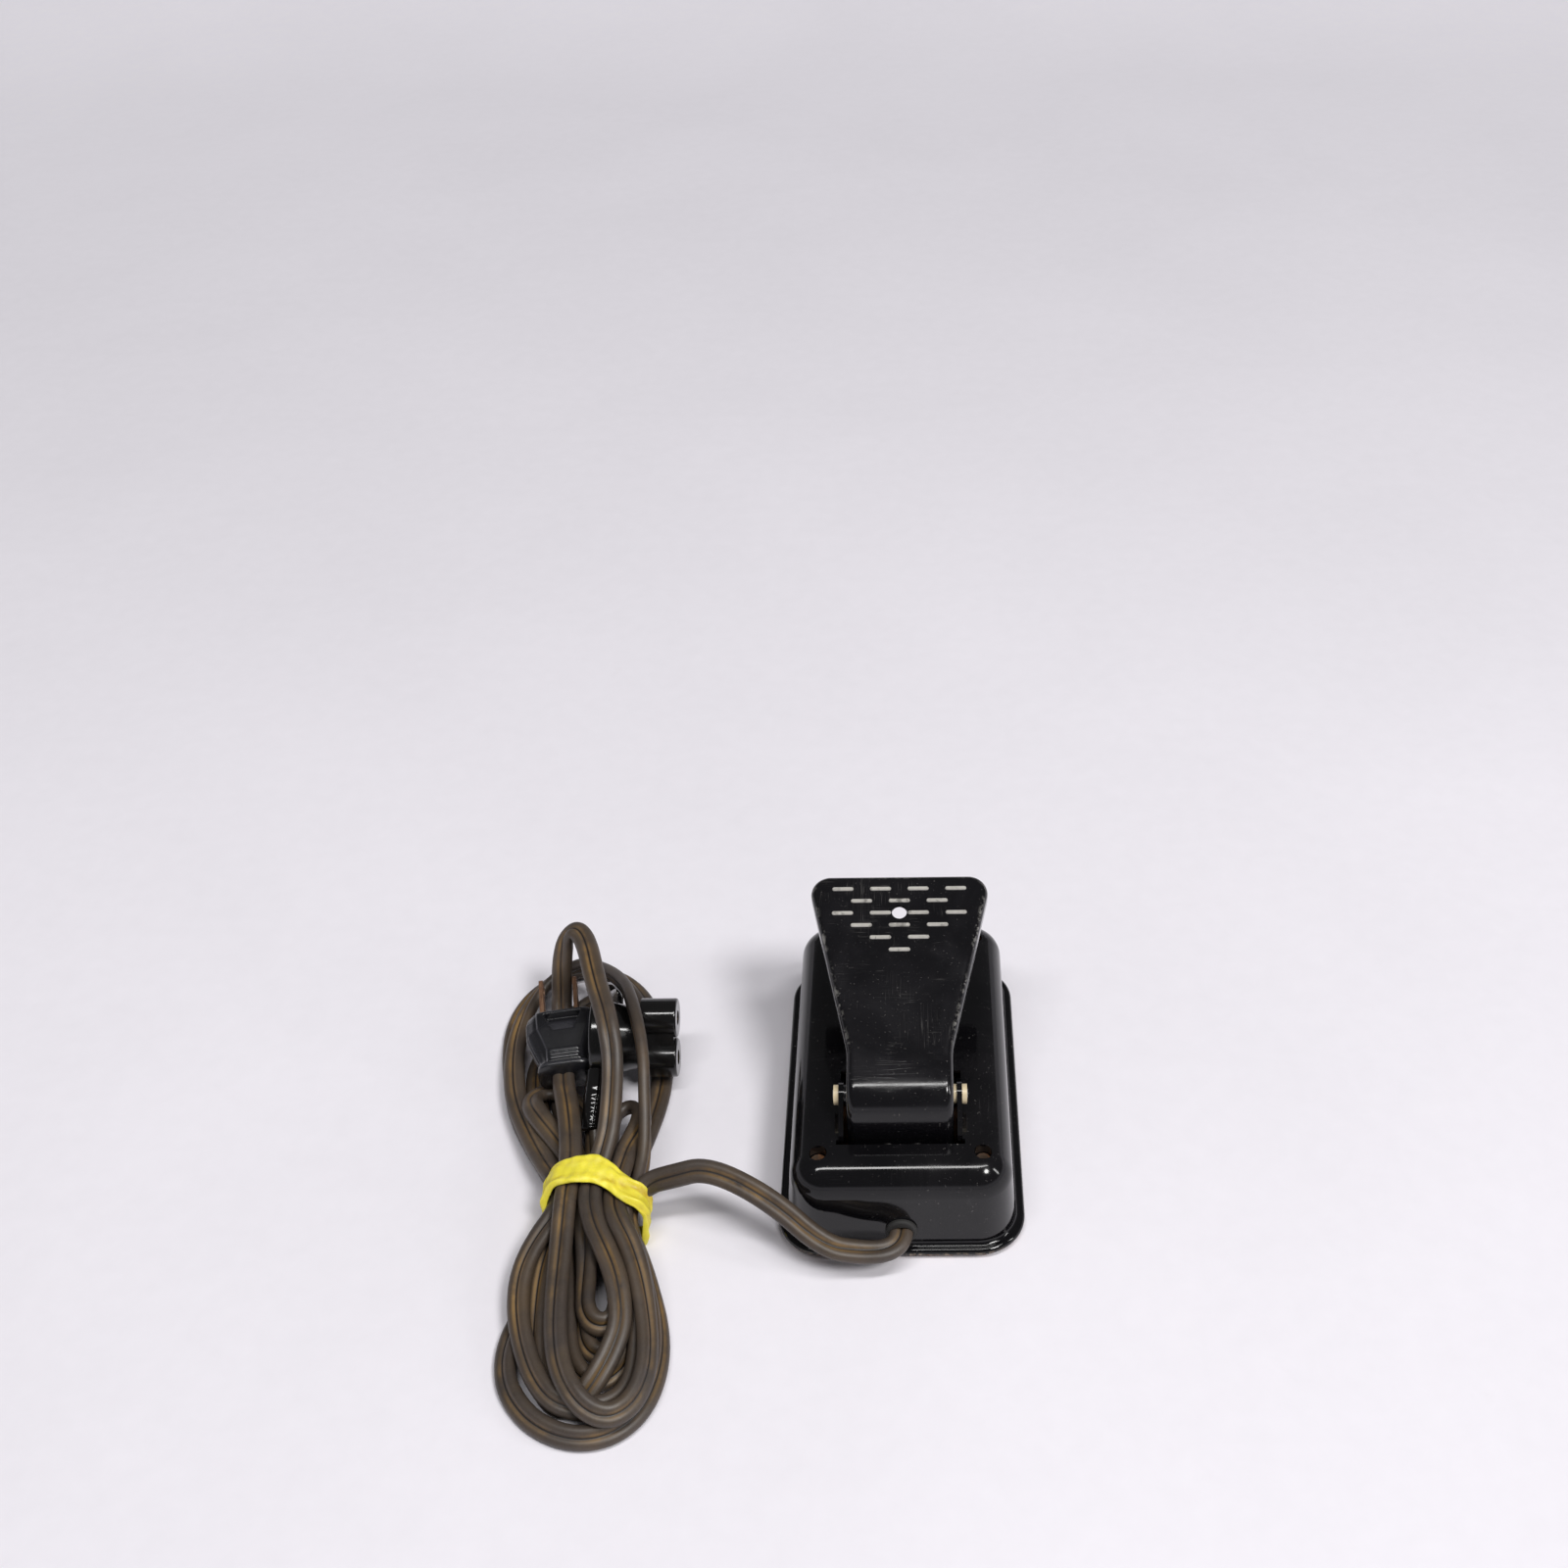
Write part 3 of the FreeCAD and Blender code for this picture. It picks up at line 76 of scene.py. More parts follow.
# Every cell of a (rows, columns, 3) array is one quad. around closes the columns and along the rows;
# capEnds closes the first and last row with a fan from their middles.
def gridMesh(name, grid, around=False, along=False, uv=None, capEnds=False):
    rows, cols = grid.shape[:2]
    numbers = np.arange(rows * cols).reshape(rows, cols)
    right = np.roll(numbers, -1, axis=1)
    down = np.roll(numbers, -1, axis=0)
    both = np.roll(right, -1, axis=0)
    keepRows = rows if along else rows - 1
    keepCols = cols if around else cols - 1
    quads = np.stack([numbers, right, both, down], axis=-1)[:keepRows, :keepCols].reshape(-1, 4)
    points = grid.reshape(-1, 3)
    faces = quads.tolist()
    if capEnds:
        first, last = rows * cols, rows * cols + 1
        points = np.vstack([points, grid[0].mean(0), grid[-1].mean(0)])
        ring, end = numbers[0].tolist(), numbers[-1].tolist()
        faces += [(ring[(i + 1) % cols], ring[i], first) for i in range(cols)]
        faces += [(end[i], end[(i + 1) % cols], last) for i in range(cols)]
    mesh = bpy.data.meshes.new(name)
    mesh.from_pydata(points.tolist(), [], faces)
    mesh.polygons.foreach_set("use_smooth", np.ones(len(mesh.polygons), dtype=bool))
    if uv is not None:
        layer = mesh.uv_layers.new(name="surface")
        loops = np.empty(len(mesh.loops), dtype=np.int64)
        mesh.loops.foreach_get("vertex_index", loops)
        flat = np.vstack([uv.reshape(-1, 2), np.zeros((len(points) - rows * cols, 2))])
        layer.data.foreach_set("uv", flat[loops].astype(np.float32).ravel())
    mesh.update()
    return mesh


def addPiece(name, mesh, material=None):
    piece = bpy.data.objects.new(name, mesh)
    scene.collection.objects.link(piece)
    if material is not None:
        mesh.materials.append(material)
    return piece


# A value for each point of the mesh, which the materials read by its name.
def pointValues(mesh, name, values):
    layer = mesh.attributes.new(name, "FLOAT", "POINT")
    layer.data.foreach_set("value", np.asarray(values).astype(np.float32))


# A closed mesh's volume is a sixth of the sum of a.(b x c) over its triangles; when that is below
# nothing the faces point inwards, and they are turned over.
def outwards(mesh):
    mesh.calc_loop_triangles()
    corners = np.empty(len(mesh.loop_triangles) * 3, dtype=np.int64)
    mesh.loop_triangles.foreach_get("vertices", corners)
    places = np.empty(len(mesh.vertices) * 3)
    mesh.vertices.foreach_get("co", places)
    t = places.reshape(-1, 3)[corners.reshape(-1, 3)]
    if np.einsum("ij,ij->i", t[:, 0], np.cross(t[:, 1], t[:, 2])).sum() < 0:
        mesh.flip_normals()
    return mesh


def unit(v):
    return v / np.maximum(np.linalg.norm(v, axis=-1, keepdims=True), 1e-9)


# Rises from 0 at low to 1 at high, as 3t^2 - 2t^3.
def smoothStep(low, high, v):
    t = np.clip((v - low) / (high - low), 0, 1)
    return t * t * (3 - 2 * t)


def distanceAlong(path):
    return np.concatenate([[0.0], np.cumsum(np.linalg.norm(np.diff(path, axis=0), axis=1))])


# The points that Blender works out along a smooth spline with these control points.
def splineRead(points, order=3, steps=9):
    data = bpy.data.curves.new("route", "CURVE")
    data.dimensions = "3D"
    data.resolution_u = steps
    spline = data.splines.new("NURBS")
    spline.points.add(len(points) - 1)
    spline.points.foreach_set("co", [v for p in points for v in (*p, 1.0)])
    spline.order_u = order
    spline.use_endpoint_u = True
    holder = bpy.data.objects.new("route", data)
    scene.collection.objects.link(holder)
    bpy.context.view_layer.update()
    line = bpy.data.meshes.new_from_object(holder)
    places = np.empty(len(line.vertices) * 3)
    line.vertices.foreach_get("co", places)
    bpy.data.objects.remove(holder)
    bpy.data.curves.remove(data)
    bpy.data.meshes.remove(line)
    return places.reshape(-1, 3)


# A route's middle line in metres and how far the flat leans at each of its points. The lean runs
# along a second spline with as many control points, so that the two keep step.
def routeLine(points, leanScale=0.01, closest=1e-5):
    path = splineRead([(x * mm, y * mm, z * mm) for x, y, z, _ in points])
    lean = splineRead([(p[3] * leanScale, i * mm, 0.0) for i, p in enumerate(points)])[:, 0] / leanScale
    keep = np.concatenate([[True], np.linalg.norm(np.diff(path, axis=0), axis=1) > closest])
    return path[keep], lean[keep]


# Axes at each point of a path: forwards; the flat's width, level across the path and then leant by
# the angle; and the flat's thickness, square to both.
def alongPath(path, lean):
    forward = unit(np.gradient(path, axis=0))
    level = unit(np.cross(forward, [0.0, 0.0, 1.0]))
    rise = np.cross(level, forward)
    a = np.radians(lean)[:, None]
    wide = level * np.cos(a) + rise * np.sin(a)
    return forward, wide, np.cross(wide, forward)


flex = {
    "coreGap": 0.00195,      # each core's middle from the flat's middle
    "coreRadius": 0.00212,
    "web": 0.00128,          # half the thickness left in the groove
    "webFrom": 0.6,          # the web counts where |sin| of the angle is above this
    "around": 32,
    "crowd": 0.16,           # gathers the points where the groove is
    "swell": [(0.012, 71.0, 0.0), (0.008, 193.0, 1.3)],   # share, radians a metre, start
    "crown": 0.00085,        # how wide the groove reads
    "floor": 0.0002,         # flattened a hair where it lies on the floor
}


# Two round cores side by side with a web between. The radius at angle a is gap*|cos a| plus the root
# of core^2 - (gap*sin a)^2, and near the groove it is at least web/|sin a|.
def twinProfile(spec):
    a = np.linspace(0, 2 * np.pi, spec["around"], endpoint=False)
    a = a + spec["crowd"] * np.sin(2 * a)
    side = np.abs(np.sin(a))
    core = np.sqrt(np.maximum(spec["coreRadius"] ** 2 - (spec["coreGap"] * side) ** 2, 0))
    radius = spec["coreGap"] * np.abs(np.cos(a)) + core
    web = np.maximum(radius, spec["web"] / np.maximum(side, 1e-6))
    radius = np.where(side > spec["webFrom"], web, radius)
    return a, radius * np.cos(a), radius * np.sin(a)


# Carries the twin profile along the path: point = path + wide*x + thick*y, a little uneven along it.
# ridge is 0 in the groove and 1 on a core's crown, run is metres from the start.
def twinFlex(name, path, lean, spec):
    gone = distanceAlong(path)
    _, wide, thick = alongPath(path, lean)
    a, x, y = twinProfile(spec)
    swell = 1.0 + sum(size * np.sin(gone * rate + start) for size, rate, start in spec["swell"])
    grid = (path[:, None, :] + wide[:, None, :] * (x[None, :, None] * swell[:, None, None])
            + thick[:, None, :] * (y[None, :, None] * swell[:, None, None]))
    grid[:, :, 2] = np.maximum(grid[:, :, 2], spec["floor"])
    shape = grid.shape[:2]
    uv = np.stack(np.broadcast_arrays(np.arange(len(a))[None, :] / len(a), gone[:, None]), axis=-1)
    mesh = outwards(gridMesh(name, grid, around=True, uv=uv, capEnds=True))
    crown = np.broadcast_to(1 - np.exp(-(x / spec["crown"]) ** 2), shape).ravel()
    pointValues(mesh, "ridge", np.concatenate([crown, [0.5, 0.5]]))
    run = np.broadcast_to(gone[:, None], shape).ravel()
    pointValues(mesh, "run", np.concatenate([run, [0.0, gone[-1]]]))
    return mesh


pedalRoute = {
    "exit": (0.0, -0.0665, 0.0114),
    "length": 0.810,
    "diameter": 0.0082,      # across the flat
    # x, y, z in millimetres, and how far the flat leans, in degrees
    "points": [
        (0.1, -52.9, 11.4, 0), (0, -60, 11.4, 0), (0, -70.2, 11.4, 0), (-5.2, -74.4, 11.3, 5),
        (-14, -74.8, 11.6, 15), (-26, -75.2, 15.3, 25), (-44.3, -62.6, 25, 35), (-66, -51.4, 28, 35),
        (-79, -51.6, 23.5, 40), (-86.6, -51.2, 20.2, 60), (-90.5, -53.5, 17, 72), (-94.4, -58.6, 14.6, 75),
        (-91.6, -68.5, 12.2, 60), (-89.4, -79.2, 11.5, 55), (-87, -91.3, 10.2, 50), (-85.7, -104, 7.8, 50),
        (-85.4, -115.9, 5.5, 50), (-88.2, -124.7, 4.9, 50), (-94.7, -129.2, 5.7, 50), (-102.3, -130.2, 7, 45),
        (-110.8, -127.7, 8.1, 40), (-118.1, -118.6, 8.4, 35), (-123.9, -105.7, 8.8, 30),
        (-127.3, -92.5, 9.6, 25), (-127.7, -80.6, 11, 20), (-124.2, -69.4, 12.8, 10),
        (-117.6, -57.5, 14.3, 0), (-117.6, -48.5, 14.3, 0), (-126.4, -36.4, 11.9, 5), (-135.9, -18.8, 9.1, 8),
        (-143.5, -2.6, 7.2, 12), (-147.1, 13.8, 7.5, 18), (-148, 30.1, 8.5, 25), (-144.6, 46.5, 10.4, 40),
        (-136.2, 56.5, 14, 50), (-125, 57.4, 19.4, 60), (-113.6, 46.4, 26.2, 70), (-104.1, 31.7, 33.7, 85),
        (-98.8, 16.1, 38.9, 95), (-94.4, 1.5, 37.6, 95), (-92.2, -9.8, 34, 95), (-91.6, -18.8, 29.1, 95),
        (-90.9, -27.7, 23.4, 95), (-90.7, -36.5, 17.3, 92), (-92.3, -42.9, 11.4, 90), (-94.6, -48.5, 5.9, 90),
        (-94.6, -57.5, 5.9, 90), (-90.2, -67.1, 4.6, 80), (-85.3, -80.6, 4, 65), (-80.2, -96.8, 3.7, 55),
        (-78.6, -111.7, 3.9, 50), (-81.1, -125, 3.9, 45), (-86.9, -133.6, 3.6, 45), (-95.2, -138.2, 3.6, 45),
        (-105.5, -138.2, 3.6, 45), (-116.9, -132.7, 3.5, 42), (-125.4, -123.1, 3.4, 40),
        (-129.1, -113.5, 3.3, 35), (-129.5, -103.4, 3.1, 30), (-127, -93.2, 2.6, 15), (-121.9, -82.1, 2.2, 0),
        (-115.9, -71.2, 2.1, 0), (-111.1, -63.8, 2.2, 0), (-109.2, -57.5, 3.9, 0), (-109.2, -48.5, 3.9, 0),
        (-109.6, -38, 4.6, 20), (-111.1, -27.1, 9.4, 50), (-111.6, -16.5, 14.9, 80), (-111.2, -8, 18.8, 90),
        (-111.2, -2.5, 20, 90),
    ],
}

mainsRoute = {
    "exit": (-0.1112, 0.0365, 0.0182),
    "length": 1.640,
    "diameter": 0.0082,
    "points": [
        (-111.2, 35.5, 18.6, 90), (-111.4, 41, 16.4, 85), (-113.8, 46.2, 12.4, 60), (-118.8, 47.8, 8.9, 20),
        (-125.9, 44.8, 6.2, 0), (-132.2, 37.5, 4.1, -10), (-136.9, 27, 2.8, -10), (-139.2, 15.6, 2.9, -10),
        (-137.2, 3.2, 3.6, -5), (-133, -11.7, 5.7, 0), (-128, -26.6, 6.7, 0), (-122.3, -39.4, 8.6, 0),
        (-117.6, -48.5, 9.9, 0), (-117.6, -57.5, 9.9, 0), (-120.2, -68.3, 9.7, -5), (-121.5, -81.2, 8.4, -15),
        (-120.6, -95.8, 6.9, -30), (-119, -109.7, 5.1, -40), (-115.6, -120.8, 3.9, -45),
        (-110.5, -126.7, 3.6, -50), (-105.7, -127.6, 3.6, -45), (-101.1, -124.5, 5.9, -35),
        (-96.9, -119.3, 9, -25), (-93.2, -111.8, 11.6, -20), (-91, -103.3, 14.1, -18),
        (-92.4, -94.4, 16.3, -12), (-95.3, -85.1, 17.7, -8), (-99.7, -76.2, 18.5, -4), (-104.2, -67.7, 19, 0),
        (-107.2, -57.5, 19.4, 0), (-107, -48.5, 19.5, 0), (-104.7, -40.2, 21.8, 8), (-103, -31.4, 25.3, 14),
        (-102.8, -20.5, 30.1, 16), (-103.3, -9, 34.8, 16), (-104.8, -1, 41.6, 16), (-107.8, 9, 43.9, 16),
        (-111.5, 19, 44.4, 15), (-114.7, 29, 44.7, 14), (-117.8, 39.5, 44.7, 12), (-121.1, 47, 45, 8),
        (-124.5, 49.5, 45.3, 4), (-128, 49.5, 40.9, 0), (-130, 47, 33.5, 0), (-131, 44, 24.8, 0),
        (-131.4, 40.5, 17.1, 0), (-131.5, 35, 12, 0), (-132.8, 25.5, 7.2, 0), (-130, 12, 4.7, 0),
        (-126.5, -2.9, 3.7, 0), (-122, -18, 5.9, 0), (-116.4, -32.7, 8.7, 0), (-109.2, -48.5, 8.4, 0),
        (-109.2, -57.5, 8.4, 0), (-108.5, -66.4, 7, -10), (-107.4, -77.3, 5.6, -35),
        (-106.3, -89.6, 4.3, -45), (-105.4, -98.9, 3.6, -50), (-103.1, -105.4, 3.7, -50),
        (-98.7, -108.9, 3.7, -50), (-94, -107.7, 3.7, -50), (-91.8, -103.1, 3.6, -50), (-91.9, -97, 3.6, -48),
        (-93.3, -89.1, 3.5, -42), (-95.7, -77.6, 2.9, -25), (-98.6, -66.7, 3.1, -5), (-100.8, -57.5, 3.9, 0),
        (-100.8, -48.5, 3.9, 0), (-99, -37.9, 3, 0), (-96.2, -25.8, 2.6, 0), (-93.1, -11.9, 2.5, 0),
        (-91, 2.6, 2.4, 0), (-91, 17.1, 2.5, 0), (-93.8, 31.8, 2.6, -5), (-98.7, 45.6, 2.8, -15),
        (-104.9, 57, 3.2, -30), (-113.4, 65.5, 3.6, -45), (-123.5, 68.9, 3.7, -50), (-134.2, 66.9, 3.7, -50),
        (-143.1, 60.9, 3.6, -45), (-149, 51.5, 3.3, -35), (-151.4, 39, 3, -25), (-150.4, 25.3, 2.8, -20),
        (-147.2, 10.9, 2.7, -15), (-142.7, -4.9, 2.4, -10), (-134.9, -19.3, 2.2, -5), (-126.4, -32.8, 3.6, 0),
        (-117.6, -48.5, 5.4, 0), (-117.6, -57.5, 5.4, 0), (-116.9, -66.8, 6.3, 0), (-114.3, -79.2, 6.1, -15),
        (-111.7, -92.6, 5.3, -35), (-109.5, -104.8, 4.6, -50), (-105.3, -114.8, 4.2, -60),
        (-98.1, -119, 3.9, -60), (-91.1, -114.5, 3.9, -55), (-87.5, -103.6, 4.5, -50),
        (-88.6, -90.4, 4.7, -40), (-93, -77.6, 6, -20), (-97.6, -67, 7.4, -5), (-100.8, -57.5, 8.3, 0),
        (-100.8, -48.5, 8.3, 0), (-101.5, -38.9, 7.8, -5), (-103.8, -28.6, 6.6, -15),
        (-109.7, -19.5, 5.9, -20), (-115.1, -12.3, 6.9, -20), (-119.7, -6.4, 7.8, -20),
        (-124.5, -1.5, 8.6, -20), (-129.4, 1, 8.2, -20), (-134, -0.2, 8.6, -20), (-136.6, -4.2, 10, -20),
        (-135.1, -11, 13.5, -18), (-130.7, -17.6, 14.2, -15), (-123.6, -26.6, 14, -10),
        (-115.1, -38, 13.3, -5), (-109.2, -48.5, 12.9, 0), (-109.2, -57.5, 12.9, 0),
        (-107.8, -66.7, 12.2, -10), (-105.9, -77.4, 11.4, -30), (-105, -88.3, 11.1, -45),
        (-104.3, -95.5, 11, -50), (-101.5, -100.6, 10.8, -50), (-97.3, -102.1, 10.5, -50),
        (-93.8, -99.7, 10.6, -48), (-93, -94.6, 10.9, -44), (-93.8, -87.3, 11.3, -40),
        (-96.3, -76.6, 11.7, -20), (-98.9, -66.6, 12.3, -5), (-100.8, -57.5, 12.9, 0),
        (-100.8, -48.5, 12.9, 0), (-102.5, -40.3, 13.1, 10), (-104.2, -31.5, 13.8, 30),
        (-104.7, -23.3, 14.5, 50), (-103.5, -17.2, 15.1, 60), (-100.1, -13.6, 15.8, 62), (-96, -14, 16.3, 58),
        (-93.5, -18, 16.7, 50), (-94.1, -24.9, 16.8, 30), (-96.9, -33.2, 17.1, 10), (-97.8, -41, 17.6, 0),
        (-98.9, -48.5, 17.5, 0), (-98.9, -57.5, 17.4, 0), (-96.6, -65.7, 19.9, 8), (-91, -75.2, 17.8, 18),
        (-86.8, -86.2, 15.2, 30), (-83.8, -98, 13.1, 42), (-81.6, -110.3, 11.5, 50), (-81.6, -122, 10.7, 50),
        (-85.2, -131.3, 10.5, 48), (-91.5, -135.6, 11, 48), (-98.3, -133.7, 12.4, 45),
        (-104.3, -127.8, 14.2, 40), (-109.2, -118.3, 14.1, 32), (-112.1, -106.5, 14, 25),
        (-113.6, -93.6, 14.5, 18), (-114.3, -80.9, 15.7, 10), (-114.9, -68.5, 17.4, 4),
        (-115.4, -57.5, 19.4, 0), (-115.4, -48.5, 19.5, 0), (-116.1, -38.3, 19.7, 0),
        (-118.2, -26.2, 19.7, 0), (-121, -14.4, 19.6, 0), (-123.9, -5, 18, 0), (-124.9, 1.5, 17.9, 0),
    ],
}

pedalPath, pedalLean = routeLine(pedalRoute["points"])
mainsPath, mainsLean = routeLine(mainsRoute["points"])
pedalMesh = twinFlex("pedalFlex", pedalPath, pedalLean, flex)
mainsMesh = twinFlex("mainsFlex", mainsPath, mainsLean, flex)
print("flexes laid, metres:", *(round(distanceAlong(path)[-1], 3) for path in (pedalPath, mainsPath)))


def addNode(tree, kind, **values):
    node = tree.nodes.new(kind)
    for key, value in values.items():
        setattr(node, key, value)
    return node


# A number or a colour is set on the socket itself; anything else is linked to it.
def fill(tree, socket, value):
    if isinstance(value, (int, float)):
        socket.default_value = value
    elif isinstance(value, tuple):
        socket.default_value = (*value, 1.0) if len(value) == 3 else value
    else:
        tree.links.new(value, socket)


def mathNode(tree, operation, first, second=None, clamp=False):
    node = addNode(tree, "ShaderNodeMath", operation=operation, use_clamp=clamp)
    fill(tree, node.inputs[0], first)
    if second is not None:
        fill(tree, node.inputs[1], second)
    return node.outputs[0]


def times(tree, first, second, clamp=False):
    return mathNode(tree, "MULTIPLY", first, second, clamp)


def plus(tree, first, second, clamp=False):
    return mathNode(tree, "ADD", first, second, clamp)


def minus(tree, first, second, clamp=False):
    return mathNode(tree, "SUBTRACT", first, second, clamp)


# start + mask*weight for each layer, held between 0 and 1.
def stacked(tree, start, *layers):
    for i, (mask, weight) in enumerate(layers):
        start = plus(tree, start, times(tree, mask, weight), clamp=i == len(layers) - 1)
    return start


def mixColour(tree, factor, first, second):
    node = addNode(tree, "ShaderNodeMix", data_type="RGBA")
    for socket, value in ((node.inputs[0], factor), (node.inputs[6], first), (node.inputs[7], second)):
        fill(tree, socket, value)
    return node.outputs[2]


# Mixes each (mask, colour) over what is already there.
def overlaid(tree, colour, *layers):
    for mask, tint in layers:
        colour = mixColour(tree, mask, colour, tint)
    return colour


def rangeNode(tree, value, low, high, newLow=0.0, newHigh=1.0, smooth=False):
    node = addNode(tree, "ShaderNodeMapRange", clamp=True)
    if smooth:
        node.interpolation_type = "SMOOTHSTEP"
    for i, v in enumerate((value, low, high, newLow, newHigh)):
        fill(tree, node.inputs[i], v)
    return node.outputs[0]


def noiseNode(tree, where, scale, detail=4.0, rough=0.55, distortion=0.0):
    node = addNode(tree, "ShaderNodeTexNoise")
    tree.links.new(where, node.inputs["Vector"])
    for label, value in (("Scale", scale), ("Detail", detail), ("Roughness", rough), ("Distortion", distortion)):
        fill(tree, node.inputs[label], value)
    return node.outputs["Fac"]


def stretched(tree, where, scale, turn=(0, 0, 0)):
    node = addNode(tree, "ShaderNodeMapping")
    tree.links.new(where, node.inputs["Vector"])
    node.inputs["Scale"].default_value = scale
    node.inputs["Rotation"].default_value = turn
    return node.outputs[0]


def attributeNode(tree, name):
    return addNode(tree, "ShaderNodeAttribute", attribute_name=name).outputs["Fac"]


vectorKind, numberKind, colourKind = "NodeSocketVector", "NodeSocketFloat", "NodeSocketColor"


def newGroup(name, inputs, outputs):
    tree = bpy.data.node_groups.new(name, "ShaderNodeTree")
    for label, kind, value in inputs:
        socket = tree.interface.new_socket(name=label, in_out="INPUT", socket_type=kind)
        if value is not None:
            socket.default_value = value
    for label, kind in outputs:
        tree.interface.new_socket(name=label, in_out="OUTPUT", socket_type=kind)
    return tree, addNode(tree, "NodeGroupInput").outputs, addNode(tree, "NodeGroupOutput").inputs


# Handling marks: broad cloudy smears that dull a gloss, and fine dust that lies in them.
def makeHandled():
    tree, into, out = newGroup(
        "handled", [("Place", vectorKind, None), ("Smears", numberKind, 9.0), ("Dust", numberKind, 0.3)],
        [("Smear", numberKind), ("Dust", numberKind)])
    broad = noiseNode(tree, into["Place"], into["Smears"], 6.0, 0.62, 0.6)
    fine = noiseNode(tree, into["Place"], times(tree, into["Smears"], 34.0), 3.0, 0.7)
    smear = rangeNode(tree, broad, 0.36, 0.70, smooth=True)
    specks = rangeNode(tree, fine, 0.66, 0.74)
    settled = times(tree, specks, rangeNode(tree, broad, 0.35, 0.62))
    tree.links.new(smear, out["Smear"])
    tree.links.new(times(tree, settled, into["Dust"]), out["Dust"])
    return tree


# Fine scratches: noise drawn out thin along three directions, kept only at its narrow crests.
def makeScratched():
    tree, into, out = newGroup("scratched", [("Place", vectorKind, None), ("Amount", numberKind, 0.5)],
                               [("Scratch", numberKind)])
    found = None
    for turn, scale in (((0.0, 0.0, 0.5), (30, 1400, 30)), ((0.0, 0.0, -0.9), (1100, 22, 40)),
                        ((0.3, 0.2, 1.3), (24, 900, 24))):
        thin = noiseNode(tree, stretched(tree, into["Place"], scale, turn), 1.0, 1.0, 0.4)
        crest = mathNode(tree, "ABSOLUTE", minus(tree, thin, 0.5))
        line = rangeNode(tree, crest, 0.0, 0.012, 1.0, 0.0)
        gate = rangeNode(tree, noiseNode(tree, into["Place"], 62.0 + 9 * turn[2], 2.0), 0.56, 0.68)
        line = times(tree, line, gate)
        found = line if found is None else mathNode(tree, "MAXIMUM", found, line)
    tree.links.new(times(tree, found, into["Amount"], clamp=True), out["Scratch"])
    return tree


# Rust: coarse patches broken up by fine grain, its colour from dark brown to orange.
def makeRusted():
    tree, into, out = newGroup(
        "rusted", [("Place", vectorKind, None), ("Where", numberKind, 0.5), ("Grain", numberKind, 600.0)],
        [("Rust", numberKind), ("Colour", colourKind), ("Height", numberKind)])
    patch = noiseNode(tree, into["Place"], times(tree, into["Grain"], 0.16), 5.0, 0.65, 0.4)
    grain = noiseNode(tree, into["Place"], into["Grain"], 4.0, 0.7)
    mixed = plus(tree, times(tree, patch, 0.72), times(tree, grain, 0.28))
    limit = minus(tree, 0.86, times(tree, into["Where"], 0.62))
    rust = rangeNode(tree, minus(tree, mixed, limit), -0.025, 0.045, smooth=True)
    ramp = addNode(tree, "ShaderNodeValToRGB")
    for element, position, tint in zip(ramp.color_ramp.elements, (0.34, 0.70),
                                       ((0.030, 0.014, 0.009, 1), (0.26, 0.105, 0.035, 1))):
        element.position, element.color = position, tint
    tree.links.new(grain, ramp.inputs[0])
    tree.links.new(rust, out["Rust"])
    tree.links.new(ramp.outputs[0], out["Colour"])
    tree.links.new(times(tree, rust, grain), out["Height"])
    return tree


# Slow changes of tone over a surface, with a fine mottle, as an even moulding or casting has.
def makeToned():
    tree, into, out = newGroup(
        "toned", [("Place", vectorKind, None), ("Base", colourKind, (0.5, 0.5, 0.5, 1)), ("Light", numberKind, 1.3),
                  ("Dark", numberKind, 0.7), ("Size", numberKind, 60.0)],
        [("Colour", colourKind), ("Fine", numberKind), ("Broad", numberKind)])
    broad = noiseNode(tree, into["Place"], into["Size"], 5.0, 0.6, 0.3)
    fine = noiseNode(tree, into["Place"], times(tree, into["Size"], 26.0), 3.0, 0.6)
    blend = plus(tree, times(tree, broad, 0.7), times(tree, fine, 0.3))
    gain = rangeNode(tree, blend, 0.32, 0.68, into["Dark"], into["Light"])
    scaled = addNode(tree, "ShaderNodeVectorMath", operation="SCALE")
    tree.links.new(into["Base"], scaled.inputs[0])
    tree.links.new(gain, scaled.inputs["Scale"])
    tree.links.new(scaled.outputs[0], out["Colour"])
    tree.links.new(fine, out["Fine"])
    tree.links.new(broad, out["Broad"])
    return tree


shared = {"handled": makeHandled(), "scratched": makeScratched(), "rusted": makeRusted(), "toned": makeToned()}
print("shader groups ready")


def placeGroup(tree, name, place, **values):
    node = addNode(tree, "ShaderNodeGroup", node_tree=shared[name])
    tree.links.new(place, node.inputs["Place"])
    for label, value in values.items():
        fill(tree, node.inputs[label], value)
    return node.outputs


# A new material with its own Principled shader; plain sets the sockets that are the same all over.
def startMaterial(name, **plain):
    material = bpy.data.materials.new(name)
    material.use_nodes = True
    tree = material.node_tree
    shader = tree.nodes["Principled BSDF"]
    for label, value in plain.items():
        shader.inputs[label.replace("_", " ")].default_value = value
    return material, tree, shader, addNode(tree, "ShaderNodeTexCoord").outputs["Object"]


def connect(tree, shader, **sockets):
    for label, value in sockets.items():
        tree.links.new(value, shader.inputs[label.replace("_", " ")])


def bumpTo(tree, shader, height, strength, distance):
    bump = addNode(tree, "ShaderNodeBump")
    bump.inputs["Strength"].default_value = strength
    bump.inputs["Distance"].default_value = distance
    tree.links.new(height, bump.inputs["Height"])
    tree.links.new(bump.outputs[0], shader.inputs["Normal"])


def splitPlace(tree, place):
    node = addNode(tree, "ShaderNodeSeparateXYZ")
    tree.links.new(place, node.inputs[0])
    return node.outputs


